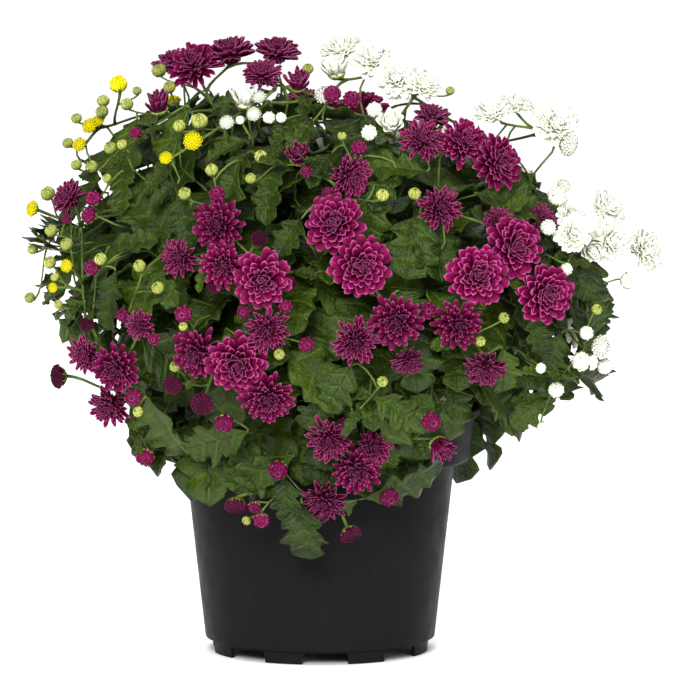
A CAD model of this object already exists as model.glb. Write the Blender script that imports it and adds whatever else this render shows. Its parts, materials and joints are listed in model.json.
# %% Frame
import json
import math
import random

import bmesh
import bpy
from mathutils import Matrix, Vector, noise

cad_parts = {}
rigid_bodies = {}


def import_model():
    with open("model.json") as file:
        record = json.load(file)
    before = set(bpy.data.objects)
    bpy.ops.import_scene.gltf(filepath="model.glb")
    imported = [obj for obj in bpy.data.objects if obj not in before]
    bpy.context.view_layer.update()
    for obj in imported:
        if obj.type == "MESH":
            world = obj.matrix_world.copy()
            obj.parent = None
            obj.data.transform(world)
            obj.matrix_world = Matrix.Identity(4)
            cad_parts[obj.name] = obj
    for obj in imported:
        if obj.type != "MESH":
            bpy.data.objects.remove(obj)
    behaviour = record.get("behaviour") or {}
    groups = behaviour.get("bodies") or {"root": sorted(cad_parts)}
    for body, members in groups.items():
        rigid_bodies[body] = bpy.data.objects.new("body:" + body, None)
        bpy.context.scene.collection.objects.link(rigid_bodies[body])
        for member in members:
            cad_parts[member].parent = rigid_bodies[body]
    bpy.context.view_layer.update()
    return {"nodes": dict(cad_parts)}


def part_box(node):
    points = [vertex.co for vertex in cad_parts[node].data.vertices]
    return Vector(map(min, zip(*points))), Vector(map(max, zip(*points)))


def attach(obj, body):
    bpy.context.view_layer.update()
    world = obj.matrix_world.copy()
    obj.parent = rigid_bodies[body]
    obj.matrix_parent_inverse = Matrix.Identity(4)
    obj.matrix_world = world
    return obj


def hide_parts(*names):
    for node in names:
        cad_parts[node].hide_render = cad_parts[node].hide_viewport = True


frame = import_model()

# %% [markdown]
# The object is a potted garden chrysanthemum: three young plants, purple, white and yellow, in one
# black nursery pot. The solids are already there, at their real size. This script dresses them:
# each solid of blooms or of a leafy stem is replaced by one with real petals, lobed leaves and
# scaly buds, which stand in the same places.
#
# The camera comes first, because every comparison with the photograph depends on it. A long lens
# from 4.5 m gives the photograph's flat view, looking down by about six degrees. The pot's rim sets
# the scale: it is 190 mm across and is seen 320.5 points wide.

# %% Camera
MM = 0.001
LIP_RADIUS = 95 * MM
SEEN_RIM = 320.5
PHOTO_SIDE = 696
PHOTO_SCALE = 2 * LIP_RADIUS / SEEN_RIM
SENSOR = 36.0
EYE = Vector((0.0166, -4.5, 0.69))
AIM = Vector((0.0166, 0.0, 0.180))

view_line = AIM - EYE
camera_data = bpy.data.cameras.new("camera")
camera_data.sensor_width = SENSOR
camera_data.lens = SENSOR * view_line.length / (PHOTO_SIDE * PHOTO_SCALE)
camera = bpy.data.objects.new("camera", camera_data)
camera.location = EYE
camera.rotation_euler = view_line.to_track_quat("-Z", "Y").to_euler()
bpy.context.scene.collection.objects.link(camera)
bpy.context.scene.camera = camera
down_angle = math.degrees(math.asin(-view_line.normalized().z))
print("lens", round(camera_data.lens), "mm, looking down by", round(down_angle, 1), "degrees")

# %% [markdown]
# The studio is white all round: a pale floor, a white surround, and three large soft lights. A
# plant shows its form through the shade between its petals, so the key light is large but not
# shadowless, and it stands above and a little to the left of the camera.

# %% Studio
LIT_POINT = Vector((0, 0, 0.2))
SURROUND_STRENGTH = 0.38
FLOOR_SIDE = 16.0
scene = bpy.context.scene
scene.view_settings.view_transform = "Standard"
scene.view_settings.look = "None"


def studio_light(name, place, size, watts):
    """A square soft light at a place, turned to the plant."""
    lamp = bpy.data.lights.new(name, "AREA")
    lamp.size = size
    lamp.energy = watts
    item = bpy.data.objects.new(name, lamp)
    item.location = place
    item.rotation_euler = (LIT_POINT - Vector(place)).to_track_quat("-Z", "Y").to_euler()
    scene.collection.objects.link(item)


studio_light("key_light", (-0.5, -3.0, 1.7), 1.2, 112)
studio_light("fill_light", (1.4, -2.8, 0.7), 1.8, 22)
studio_light("rim_light", (0.4, 2.2, 2.2), 1.6, 18)
world = bpy.data.worlds.new("white_surround")
world.use_nodes = True
world.node_tree.nodes["Background"].inputs["Color"].default_value = (1, 1, 1, 1)
world.node_tree.nodes["Background"].inputs["Strength"].default_value = SURROUND_STRENGTH
scene.world = world

floor_mesh = bpy.data.meshes.new("floor")
bm = bmesh.new()
bmesh.ops.create_grid(bm, x_segments=1, y_segments=1, size=FLOOR_SIDE / 2)
bm.to_mesh(floor_mesh)
bm.free()
floor = bpy.data.objects.new("floor", floor_mesh)
scene.collection.objects.link(floor)

# %% [markdown]
# A finish is a small node tree on the Principled shader. Most finishes here mix a few colours by
# how far a point lies along its petal or leaf and by which side it is on. The meshes carry those
# facts as attributes, so the colour follows each blade however it is bent.

# %% Finish helpers
class Finish:
    """A material under construction, with short names for the nodes that the finishes share."""

    def __init__(self, name, roughness=0.5, **sockets):
        self.material = bpy.data.materials.new(name)
        self.material.use_nodes = True
        self.tree = self.material.node_tree
        self.shader = self.tree.nodes["Principled BSDF"]
        self.shader.inputs["Roughness"].default_value = roughness
        for label, value in sockets.items():
            self.shader.inputs[label.replace("_", " ")].default_value = value

    def node(self, kind, **settings):
        """A new node, with its settings given by name."""
        made = self.tree.nodes.new(kind)
        for label, value in settings.items():
            setattr(made, label, value)
        return made

    def wire(self, source, target):
        self.tree.links.new(source, target)

    def fact(self, name):
        """A number that the mesh carries at each point."""
        return self.node("ShaderNodeAttribute", attribute_name=name).outputs["Fac"]

    def noise(self, scale, detail=2.0):
        """Soft random spots in the piece's own space, scale spots a metre."""
        place = self.node("ShaderNodeTexCoord").outputs["Object"]
        made = self.node("ShaderNodeTexNoise")
        made.inputs["Scale"].default_value = scale
        made.inputs["Detail"].default_value = detail
        self.wire(place, made.inputs["Vector"])
        return made.outputs["Fac"]

    def ramp(self, value, *stops):
        """Colours along a value: each stop is (position, colour)."""
        made = self.node("ShaderNodeValToRGB")
        ramp = made.color_ramp
        while len(ramp.elements) < len(stops):
            ramp.elements.new(0.5)
        for element, (position, colour) in zip(ramp.elements, stops):
            element.position = position
            element.color = (*colour, 1)
        self.wire(value, made.inputs["Fac"])
        return made.outputs["Color"]

    def mix(self, share, first, second, how="MIX"):
        """Blend two colours, each a wire or three numbers, by a share that is a wire or a number."""
        made = self.node("ShaderNodeMix", data_type="RGBA", blend_type=how)
        for socket, value in ((made.inputs[0], share), (made.inputs[6], first), (made.inputs[7], second)):
            if isinstance(value, bpy.types.NodeSocket):
                self.wire(value, socket)
            else:
                socket.default_value = value if isinstance(value, (int, float)) else (*value, 1)
        return made.outputs[2]

    def maths(self, how, first, second=0.0, third=0.0):
        """One step of arithmetic on up to three values, each a wire or a number."""
        made = self.node("ShaderNodeMath", operation=how)
        for socket, value in zip(made.inputs, (first, second, third)):
            if isinstance(value, bpy.types.NodeSocket):
                self.wire(value, socket)
            else:
                socket.default_value = value
        return made.outputs[0]

    def colour(self, value):
        """Use a colour as the finish's base colour."""
        self.wire(value, self.shader.inputs["Base Color"])

    def bump(self, height, strength, distance):
        """Raise and sink the surface a little by a height."""
        made = self.node("ShaderNodeBump")
        made.inputs["Strength"].default_value = strength
        made.inputs["Distance"].default_value = distance
        self.wire(height, made.inputs["Height"])
        self.wire(made.outputs["Normal"], self.shader.inputs["Normal"])


def hue(red, green, blue):
    """A colour as it looks on screen, 0 to 255, turned into the shader's linear numbers."""
    return tuple(
        (v / 255 / 12.92) if v <= 10 else ((v / 255 + 0.055) / 1.055) ** 2.4 for v in (red, green, blue)
    )


def grey(share):
    """A plain grey, 0 for black and 1 for white, in the shader's linear numbers."""
    return share, share, share


print("a mid grey is", [round(v, 3) for v in hue(128, 128, 128)])

# %% [markdown]
# The first finish is the floor's. It is a plain matte white that glows a little, so that it is an
# even white all round the plant. Under the pot the glow is kept off, or light would leak out of the
# notches of its foot, where the photograph is dark.

# %% Floor finish
FLOOR_GLOW = 0.68
DARK_UNDER_POT = 0.062
BRIGHT_AROUND_POT = 0.072
floor_finish = Finish("pale_floor", roughness=0.9)
floor_finish.shader.inputs["Base Color"].default_value = (0.9, 0.9, 0.9, 1)
floor_finish.shader.inputs["Specular IOR Level"].default_value = 0.0
floor_finish.shader.inputs["Emission Strength"].default_value = FLOOR_GLOW
reach = floor_finish.node("ShaderNodeVectorMath", operation="LENGTH")
floor_finish.wire(floor_finish.node("ShaderNodeTexCoord").outputs["Object"], reach.inputs[0])
glow = floor_finish.ramp(reach.outputs["Value"], (DARK_UNDER_POT, grey(0)), (BRIGHT_AROUND_POT, grey(1)))
floor_finish.wire(glow, floor_finish.shader.inputs["Emission Color"])
floor.data.materials.append(floor_finish.material)
print("floor finish:", floor_finish.material.name)

# %% [markdown]
# A chrysanthemum's petals are small spoons: narrow at the base, round or pointed at the tip, with
# a groove along the middle. Their upper side is rich and their edge and back are pale. All kinds
# share one finish per colour: the deep colour gives way to the pale one towards the edge and back,
# each bloom is a little lighter or darker, and the heart of the bloom is darkest.

# %% Petal finishes
def petal_finish(name, deep, bright, pale, back, heart, heart_from=0.35, swing=0.9, soft=0.1, gloss=0.15):
    """Velvety petals: deep inside, bright along the blade, a thin pale edge, and a paler back."""
    finish = Finish(name, roughness=0.6, Subsurface_Weight=soft, Subsurface_Scale=0.0015)
    finish.shader.inputs["Subsurface Radius"].default_value = (1, 1, 1)
    finish.shader.inputs["Specular IOR Level"].default_value = gloss
    blade = finish.ramp(finish.fact("along"), (0.0, deep), (0.55, deep), (0.92, bright), (1.0, pale))
    streaks = finish.noise(900, 3)
    blade = finish.mix(finish.maths("MULTIPLY", streaks, 0.4), blade, bright)
    side = finish.fact("under")
    edge = finish.ramp(side, (0.37, grey(0)), (0.49, grey(0.9)), (1.0, grey(1)))
    outside = finish.ramp(side, (0.52, pale), (0.70, back))
    colour = finish.mix(edge, blade, outside)
    inner = finish.ramp(finish.fact("inner"), (heart_from, grey(0)), (0.95, grey(0.85)))
    colour = finish.mix(inner, colour, heart)
    light = finish.maths("MULTIPLY_ADD", finish.fact("tint"), swing, 1 - swing / 2)
    finish.colour(finish.mix(1.0, colour, light, "MULTIPLY"))
    return finish.material


PURPLE = petal_finish(
    "purple_petals", deep=hue(72, 0, 27), bright=hue(120, 2, 70), pale=hue(204, 108, 160),
    back=hue(112, 8, 66), heart=hue(54, 0, 18), soft=0.05, gloss=0.10,
)
WHITE = petal_finish(
    "white_petals", deep=hue(239, 242, 220), bright=hue(244, 246, 234), pale=hue(246, 248, 240),
    back=hue(241, 243, 226), heart=hue(226, 232, 146), heart_from=0.86, swing=0.06, soft=0.15,
)
YELLOW = petal_finish(
    "yellow_petals", deep=hue(238, 218, 0), bright=hue(248, 236, 6), pale=hue(252, 244, 60),
    back=hue(246, 234, 4), heart=hue(226, 196, 0), heart_from=0.60, swing=0.2, soft=0.3,
)
PETAL_FINISH = {"purple": PURPLE, "white": WHITE, "yellow": YELLOW}
print("petal finishes:", sorted(PETAL_FINISH))

# %% [markdown]
# The leaves are dark green with a grey bloom from fine hairs, pale veins and a lighter back. The
# veins follow the leaf, so they are drawn from two numbers that each point carries: how far it
# lies from the midrib and how far up the leaf. Buds and stalks are a fresher, lighter green.

# %% Green finishes
VEIN_ROOTS = (0.20, 0.46, 0.70)
VEIN_RISE = (0.07, 0.09, 0.10)


def leaf_finish():
    """Leaf green with veins drawn along the blade, a pale back and a hue of its own on each leaf."""
    finish = Finish("leaf_green", roughness=0.42, Subsurface_Weight=0.06, Subsurface_Scale=0.002)
    finish.shader.inputs["Specular IOR Level"].default_value = 0.26
    across = finish.maths("ABSOLUTE", finish.fact("across"))
    along = finish.fact("along")
    nearest = finish.maths("MULTIPLY", across, 1.3)
    for root, rise in zip(VEIN_ROOTS, VEIN_RISE):
        line = finish.maths("MULTIPLY_ADD", across, rise, root)
        gap = finish.maths("ABSOLUTE", finish.maths("SUBTRACT", along, line))
        nearest = finish.maths("MINIMUM", nearest, finish.maths("MULTIPLY_ADD", across, 0.02, gap))
    vein = finish.ramp(nearest, (0.0, grey(1)), (0.020, grey(0.6)), (0.05, grey(0)))
    quilt = finish.ramp(nearest, (0.0, grey(0)), (0.10, grey(1)))
    patches = finish.ramp(finish.noise(70, 5), (0.38, hue(12, 24, 1)), (0.60, hue(38, 57, 6)))
    tinted = finish.mix(finish.fact("tint"), patches, hue(84, 110, 2))
    tinted = finish.mix(finish.maths("MULTIPLY", quilt, 0.25), tinted, hue(48, 70, 3))
    fine = finish.ramp(finish.noise(700, 4), (0.35, grey(0.66)), (0.65, grey(1.20)))
    blade = finish.mix(1.0, tinted, fine, "MULTIPLY")
    blade = finish.mix(finish.maths("MULTIPLY", vein, 0.30), blade, hue(86, 110, 34))
    under = finish.ramp(finish.fact("under"), (0.5, grey(0)), (0.8, grey(1)))
    back = finish.mix(finish.maths("MULTIPLY", vein, 0.6), hue(62, 82, 34), hue(104, 122, 66))
    finish.colour(finish.mix(under, blade, back))
    crinkle = finish.maths("MULTIPLY_ADD", finish.noise(260, 4), 2.2, finish.noise(900, 2))
    finish.bump(finish.maths("SUBTRACT", crinkle, vein), 0.8, 0.9 * MM)
    return finish.material


def stalk_finish():
    """Fresh green stalks with fine lines and a few reddish stretches."""
    finish = Finish("stalk_green", roughness=0.55, Subsurface_Weight=0.1, Subsurface_Scale=0.002)
    finish.shader.inputs["Specular IOR Level"].default_value = 0.2
    soft = finish.ramp(finish.noise(90, 3), (0.35, hue(58, 80, 24)), (0.60, hue(100, 122, 52)))
    lines = finish.ramp(finish.noise(1500, 2), (0.35, grey(0.82)), (0.65, grey(1.1)))
    finish.colour(finish.mix(1.0, soft, lines, "MULTIPLY"))
    finish.bump(finish.noise(1800, 2), 0.3, 0.2 * MM)
    return finish.material


def bud_finish():
    """Bud scales: green at the foot, yellow-green above, with light edges; a high tint is paler."""
    finish = Finish("bud_green", roughness=0.5, Subsurface_Weight=0.2, Subsurface_Scale=0.002)
    finish.shader.inputs["Specular IOR Level"].default_value = 0.2
    across = finish.maths("ABSOLUTE", finish.fact("across"))
    body = finish.mix(finish.fact("tint"), hue(86, 112, 26), hue(212, 212, 108))
    low = finish.ramp(finish.fact("along"), (0.05, grey(0.7)), (0.55, grey(0)))
    body = finish.mix(low, body, hue(72, 100, 20))
    edge = finish.ramp(across, (0.50, grey(0)), (0.98, grey(0.85)))
    body = finish.mix(edge, body, hue(240, 238, 174))
    groove = finish.ramp(across, (0.0, grey(0.62)), (0.40, grey(1)))
    finish.colour(finish.mix(1.0, body, groove, "MULTIPLY"))
    finish.bump(finish.noise(1500, 2), 0.25, 0.2 * MM)
    return finish.material


LEAF = leaf_finish()
STALK = stalk_finish()
SCALE = bud_finish()
print("green finishes:", LEAF.name, STALK.name, SCALE.name)

# %% [markdown]
# Every bloom, bud and large leaf stands where the solids have it, so this layout is the one that
# they were made from. A place is read in the front view, 696 points a side, and carried along the
# line of sight to an ellipsoid, the rounded crown of the plant.

# %% Layout values
SOIL_TOP = 137 * MM
SEEN_AXIS = 318.5
SEEN_BASE = 649
NEAR_SIDE = 0.968
CROWN = Vector((0.016, 0.0, 0.222))
CROWN_ACROSS = 0.188
CROWN_DEEP = 0.172
CROWN_ABOVE = 0.146
CROWN_BELOW = 0.150
CLEAR_OF_POT = 113 * MM
LOW_LEVEL = 160 * MM
FACING_SHARE = 0.75
BUD_RISE = Vector((0, 0, 0.8))
GOLDEN_SHARE = 0.618


def seen_at(across, down):
    """Millimetres across and up, in the upright plane through the pot's axis, of a point of the view."""
    scale = 2 * LIP_RADIUS / MM / SEEN_RIM
    return round((across - SEEN_AXIS) * scale), round((SEEN_BASE - down) * scale)


def seen_width(points):
    """The real width in millimetres of something on the crown's near side."""
    return round(points * 2 * LIP_RADIUS / MM / SEEN_RIM * NEAR_SIDE)


def shared(vector, radii):
    """Each part of a vector as a share of the crown's radius in that direction."""
    return Vector(vector[i] / radii[i] for i in range(3))


def crown_radii(height):
    """The crown's half widths across and towards the viewer, and its height above or below its middle."""
    return Vector((CROWN_ACROSS, CROWN_DEEP, height))


def on_crown(across, up, sink=0.0):
    """The point of the crown seen at (across, up) from the front, and the way out of the crown."""
    aim = Vector((across, 0, up)) * MM
    line = (aim - EYE).normalized()
    for height in (CROWN_ABOVE, CROWN_BELOW):
        radii = crown_radii(height)
        start = shared(EYE - CROWN, radii)
        way = shared(line, radii)
        half_b = start.dot(way)
        inside = half_b ** 2 - way.dot(way) * (start.dot(start) - 1)
        reach = (-half_b - math.sqrt(max(inside, 0))) / way.dot(way)
        point = EYE + line * reach
        if (point.z >= CROWN.z) == (height == CROWN_ABOVE):
            break
    outward = shared(point - CROWN, [radius ** 2 for radius in radii]).normalized()
    point = point + line * sink * MM
    while point.z < LOW_LEVEL and Vector((point.x, point.y)).length < CLEAR_OF_POT:
        point = point - line * MM
    return point, outward


def crown_point(turn, height, share):
    """A point at a share of the crown's radii, by its turn about the axis and its height, -1 to 1."""
    ring = math.sqrt(max(0.0, 1 - height * height))
    radii = crown_radii(CROWN_ABOVE if height > 0 else CROWN_BELOW)
    outward = Vector((ring * math.sin(turn), -ring * math.cos(turn), height))
    point = CROWN + Vector((outward[i] * radii[i] * share for i in range(3)))
    return point, shared(outward, radii).normalized()


def crown_share(point):
    """How far out a point lies in the crown: 0 in its middle, 1 on its surface."""
    radii = crown_radii(CROWN_ABOVE if point.z > CROWN.z else CROWN_BELOW)
    return shared(point - CROWN, radii).length


# Outline of the leafy part of the crown in the front view, which the far side keeps within
LEAFY_OUTLINE = (
    (183, 470), (150, 468), (128, 440), (118, 400), (80, 330), (60, 300), (48, 262), (60, 225),
    (90, 172), (124, 112), (165, 92), (215, 92), (255, 88), (300, 102), (330, 106), (390, 122),
    (450, 140), (490, 164), (540, 178), (560, 200), (577, 235), (612, 290), (618, 385), (580, 400),
    (545, 430), (515, 424), (498, 396), (478, 404), (440, 470), (390, 500), (300, 520), (240, 500),
)


def seen_point(point):
    """Where a point is seen in the front view, in its points across and down."""
    line = point - EYE
    aim = EYE + line * (-EYE.y / line.y)
    return SEEN_AXIS + aim.x / PHOTO_SCALE, SEEN_BASE - aim.z / PHOTO_SCALE


def inside(outline, point):
    """Whether a point is seen within an outline of the front view."""
    x, y = seen_point(point)
    within = False
    for (x1, y1), (x2, y2) in zip(outline, outline[1:] + outline[:1]):
        if (y1 > y) != (y2 > y) and x < x1 + (x2 - x1) * (y - y1) / (y2 - y1):
            within = not within
    return within


print("the crown's front is at", [round(v, 3) for v in on_crown(0, CROWN.z / MM)[0]])

# %% [markdown]
# The rows below were read by eye. A bloom's row says where it is seen, across and down, and how
# wide, all in points, how far it has opened, which way it leans across and up, and how far it is
# pushed back behind its neighbours, in millimetres. The kinds are open, half open, a cup of upright
# petals, a button with a dimple, and a closed bud.

# %% Places read from the front
PURPLE_SEEN = (
    (193.7, 62, 52, "open", -0.1, 0.5, 0), (171, 58, 40, "half", -0.3, 1.5, 16),
    (228.5, 47, 47, "half", -0.1, 2, 0), (275.6, 47, 43, "half", 0.4, 1.8, 0),
    (261, 70.5, 38, "half", 0.1, 0.8, 0), (296, 77, 29, "cup", 0.1, 0.8, 0),
    (157, 99, 31, "cup", -0.2, 2, 0), (67, 194, 36, "half", -0.8, 0.8, 0),
    (296, 151, 29, "cup", 0, 0.6, 6), (349, 174, 43, "half", 0.6, -0.4, 0),
    (439, 203, 44, "half", 0.1, 0.2, 0), (430.6, 112, 37, "half", 0.1, 1.6, 14),
    (419, 137, 43, "half", 0, 0.3, 0), (462.5, 139, 50, "open", 0.2, 0.4, 0),
    (495.4, 160, 54, "open", 0.8, 0.1, 0), (333.5, 221, 60, "open", -0.2, 0.2, 0),
    (359, 262, 60, "open", 0.2, 0.05, 0), (218, 223, 52, "open", -0.1, 0.1, 0),
    (222, 263, 47, "open", 0, -0.1, 0), (178, 255, 38, "half", -0.3, 0.1, 0),
    (261, 276, 57, "open", 0.1, 0, 0), (257, 236, 20, "cup", 0, 0.2, 4),
    (292, 282, 20, "cup", 0.3, 0, 8), (209, 291, 20, "cup", -0.2, -0.1, 4),
    (182, 311, 17, "bud", -0.1, 0, 4), (266.6, 327, 43, "half", 0, 0, 0),
    (196, 350, 50, "open", -0.3, -0.1, 0), (236.6, 361, 60, "open", 0.1, -0.1, 0),
    (265.6, 396, 53, "open", 0.1, -0.3, 0), (137.5, 321, 30, "half", -0.2, 0.2, 0),
    (85, 322.5, 20, "cup", -0.4, 0.3, 0), (84, 352, 38, "half", -0.4, 0, 0),
    (115, 365, 48, "open", -0.2, 0, 0), (57, 374, 28, "cup", -1.8, 0.2, 0),
    (107, 405, 42, "half", -0.2, -0.2, 0), (132, 394, 17, "bud", 0, 0, 2),
    (172, 383, 22, "cup", -0.2, -0.1, 4), (200, 401, 28, "cup", -0.1, -0.3, 2),
    (222, 421, 20, "bud", 0, -1, 4), (327, 438, 43, "half", 0, -0.1, 0),
    (347, 421, 21, "cup", 0.2, 0.3, 8), (356, 468, 48, "open", 0.1, -0.1, 0),
    (374, 443, 34, "half", 0.3, 0.2, 12), (321.6, 500, 44, "half", -0.1, -0.2, 0),
    (277, 469, 19, "bud", 0, -0.3, 2), (235, 504, 28, "cup", 0, -1.5, 2),
    (349, 533, 26, "cup", 0.8, -0.9, 0), (387.6, 496, 20, "bud", 0.3, -0.2, 2),
    (429.6, 419.5, 20, "bud", 0.3, 0, 2), (440, 447, 31, "cup", 0.8, -0.8, 0),
    (395, 319, 52, "open", -0.1, 0, 0), (353.7, 338, 46, "half", 0, 0, 0),
    (406, 358.6, 33, "half", 0, -1, 2), (475.5, 272, 60, "open", 0.1, 0.1, 0),
    (512, 245, 60, "open", 0.3, 0.2, 2), (543, 291, 60, "open", 0.35, 0, 0),
    (456, 321, 48, "open", 0, 0, 0), (432, 310.7, 18, "bud", 0, 0, 4),
    (483, 365, 42, "half", -0.3, -0.8, 0), (495, 215.5, 30, "half", 0.1, 0.4, 6),
    (537, 215, 36, "half", 0.3, 0.8, 14), (331, 90, 18, "bud", -0.1, 0.6, 0),
    (350, 96, 18, "bud", 0.2, 0.5, 0), (93, 196, 15, "bud", -0.2, 1, 0),
    (87, 211.5, 15, "bud", -0.4, 0.4, 0), (66, 216, 10, "bud", -0.6, 0.4, 0),
    (216, 192, 16, "bud", 0, 0.6, 0), (332, 196, 13, "bud", 0, 0.8, 2),
    (134.5, 129.6, 13, "bud", -0.2, 1, 0), (358, 144.6, 15, "bud", 0.1, 0.6, 0),
    (305, 168, 13, "bud", 0, 0.4, 0), (91, 265, 16, "bud", -0.3, 0.2, 0),
    (122, 313, 14, "bud", -0.2, 0, 0), (151, 335, 12, "bud", 0, 0, 0),
    (243, 309, 14, "bud", -0.2, -0.2, 3), (273, 304.5, 14, "bud", 0.1, 0, 3),
    (305, 342, 15, "bud", 0.2, 0, 2), (143, 455, 19, "bud", -0.2, -1, 0),
    (248.6, 509, 12, "bud", 0.2, -1, 0), (258.7, 519, 16, "bud", 0.2, -1.2, 0),
)
WHITE_SEEN = (
    (242, 94, 30, "cup", 0, 1.6, 0), (262, 94, 17, "cup", 0, 0.8, 6),
    (253, 111, 17, "button", 0, 0.2, 0), (226, 120, 18, "button", -0.1, 0.4, 0),
    (268, 114, 13, "bud", 0.1, 0.4, 0), (280, 115, 10, "bud", 0.3, 0.6, 0),
    (235, 118, 8, "bud", 0, 0.3, 0), (340, 45, 38, "half", -0.6, 1.8, 0),
    (373, 56, 44, "open", 0, 0.6, 0), (394.7, 76, 46, "open", 0.1, 0.2, 0),
    (333, 64, 30, "cup", -0.6, 2, 4), (431, 85, 34, "half", 0.9, 1, 0),
    (389.6, 119, 30, "cup", 0, 0.5, 0), (375, 108, 15, "bud", -0.2, 0.3, 0),
    (367, 129, 15, "bud", -0.2, 0.1, 0), (324, 92, 25, "cup", 0, 0.6, 12),
    (490, 109, 36, "half", -0.5, 1.6, 0), (515, 101, 32, "half", 0.1, 2.2, 0),
    (553, 121.5, 48, "open", 0.2, 0.4, 0), (569, 147, 28, "cup", 1.2, -0.8, 0),
    (561, 184, 18, "cup", 0.3, 1, 0), (554, 199, 20, "bud", 0.1, 0.5, 2),
    (569, 204, 30, "half", 0.3, 0.3, 4), (564, 227, 36, "half", 0.2, 0.1, 0),
    (605, 206, 40, "half", 0.7, 0.9, 0), (609, 238, 46, "open", 0.3, 0.1, 0),
    (582, 249, 30, "cup", 0.1, -0.3, 8), (644, 248, 42, "open", 0.9, 0.3, 0),
    (599, 343.5, 26, "cup", 0.6, 0.1, 0), (544, 223, 15, "bud", 0, 0.2, 2),
    (628, 278, 17, "bud", 0.4, -0.3, 0), (564, 266, 12, "bud", 0.1, 0, 2),
    (585, 331, 14, "bud", 0.3, 0, 0), (580, 359, 19, "bud", 0.2, -0.2, 0),
    (604, 364, 16, "bud", 0.5, -0.2, 0), (554, 388, 15, "bud", 0.2, -0.3, 0),
    (541.6, 425, 10, "bud", 0.3, -0.6, 0), (540, 365, 10, "bud", 0.2, 0, 0),
)
YELLOW_SEEN = (
    (191.4, 138, 22, "button", 0, 0.2, 0), (89, 122, 19, "button", -0.2, 0.3, 0),
    (106, 113, 16, "button", -0.1, 0.6, 4), (79.5, 142, 17, "button", -0.3, 0.2, 0),
    (117.7, 80, 17, "cup", -0.1, 1.6, 0), (32, 206, 19, "button", -1, 0.3, 0),
    (66, 262, 15, "button", -0.3, 0, 0), (165, 155, 15, "button", 0, 0.4, 0),
    (52.5, 284, 13, "button", -0.3, 0, 0),
)

# Green buds: across, down and width in points
GREEN_BUDS_SEEN = (
    (102.5, 97, 12), (126.6, 101, 12), (137, 88, 9), (157.5, 67, 14), (168, 84, 13), (99, 111, 13),
    (80.6, 118, 11), (68, 140, 11), (109, 144, 13), (120.5, 141, 10), (76, 162, 10), (91, 164, 13),
    (106, 174.5, 9), (47, 190, 14), (50, 228, 12), (183, 190, 13), (179, 122, 13), (198, 118, 15),
    (211, 166, 13), (259, 152.5, 13), (249, 175, 10), (307, 65, 10), (31, 246, 11), (66, 240, 12),
    (48, 260, 12), (100, 256, 13), (138, 262, 13), (156, 285, 12), (28, 295, 10), (53, 274, 8),
    (57, 301, 8), (340, 133, 9), (381, 192, 12), (413, 189.5, 13), (381, 379, 11), (503, 315.5, 11),
    (595, 306.5, 11), (478, 338, 10), (244, 519, 9), (137, 410, 10), (174, 364, 10), (186, 329, 9),
    (276, 348, 10), (448, 88, 9), (417, 78, 9),
)

# Leaves: where the blade starts, where its tip is, and its width, in points
LEAVES_SEEN = (
    (418, 210, 403, 272, 62), (425, 168, 359, 155, 44), (473, 191, 548, 209, 52),
    (114, 268, 99, 327, 44), (110, 242, 152, 235, 30), (82, 298, 56, 322, 30), (172, 158, 138, 183, 30),
    (184, 186, 182, 240, 40), (122, 168, 116, 208, 34), (145, 394, 178, 472, 66),
    (246, 430, 180, 450, 50), (292, 453, 222, 490, 48), (283, 476, 285, 522, 40),
    (300, 503, 303, 562, 56), (362, 498, 450, 478, 52), (378, 442, 428, 402, 50),
    (350, 362, 322, 410, 46), (547, 386, 512, 428, 44), (573, 371, 618, 388, 36),
    (590, 288, 604, 330, 42), (592, 254, 590, 294, 44), (531, 308, 541, 350, 36),
    (500, 346, 507, 392, 40), (44, 240, 20, 225, 14), (64, 284, 36, 296, 20), (300, 215, 276, 248, 34),
    (398, 288, 418, 318, 40), (440, 246, 400, 258, 30), (64, 220, 28, 226, 14), (60, 248, 24, 234, 12),
    (176, 180, 146, 198, 26), (247, 136, 202, 152, 26), (246, 150, 222, 186, 34), (136, 136, 156, 118, 16),
    (128, 150, 104, 163, 20), (272, 165, 262, 212, 34), (300, 112, 270, 135, 28), (312, 118, 286, 146, 30),
    (330, 150, 308, 176, 26), (366, 185, 330, 196, 30), (395, 165, 372, 200, 34), (560, 330, 545, 372, 44),
    (575, 380, 530, 372, 40), (330, 392, 300, 430, 40), (372, 395, 420, 425, 44), (150, 270, 170, 300, 34),
)

print("coloured:", len(PURPLE_SEEN) + len(WHITE_SEEN) + len(YELLOW_SEEN), "green buds:", len(GREEN_BUDS_SEEN))
print("leaves:", len(LEAVES_SEEN))

# %% [markdown]
# Each row becomes a bloom with a place on the crown, a radius, and an axis that it faces along. It
# faces mostly the way that it is seen to lean, and a little straight out of the crown.

# %% Blooms of the near side
def seen_blooms():
    """Every bloom and coloured bud that the front shows, as a dictionary each."""
    found = []
    for colour, rows in (("purple", PURPLE_SEEN), ("white", WHITE_SEEN), ("yellow", YELLOW_SEEN)):
        for across, down, points, kind, lean_across, lean_up, sink in rows:
            place, outward = on_crown(*seen_at(across, down), sink)
            facing = Vector((lean_across, -1, lean_up)).normalized()
            axis = (facing * FACING_SHARE + outward * (1 - FACING_SHARE)).normalized()
            radius = seen_width(points) * MM / 2
            found.append(dict(colour=colour, kind=kind, place=place, axis=axis, radius=radius))
    for across, down, points in GREEN_BUDS_SEEN:
        place, outward = on_crown(*seen_at(across, down))
        axis = (outward + BUD_RISE).normalized()
        radius = seen_width(points) * MM / 2
        found.append(dict(colour="green", kind="bud", place=place, axis=axis, radius=radius))
    return found


near_blooms = seen_blooms()
print("blooms and buds seen from the front:", len(near_blooms))

# %% [markdown]
# The front view says nothing about the far side, so the back of the crown is set out by a rule:
# groups of three touching blooms along a golden spiral, in the colour of the plant on that side,
# and a few buds. They are drawn in until they hide behind the outline that the front view shows.

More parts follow.
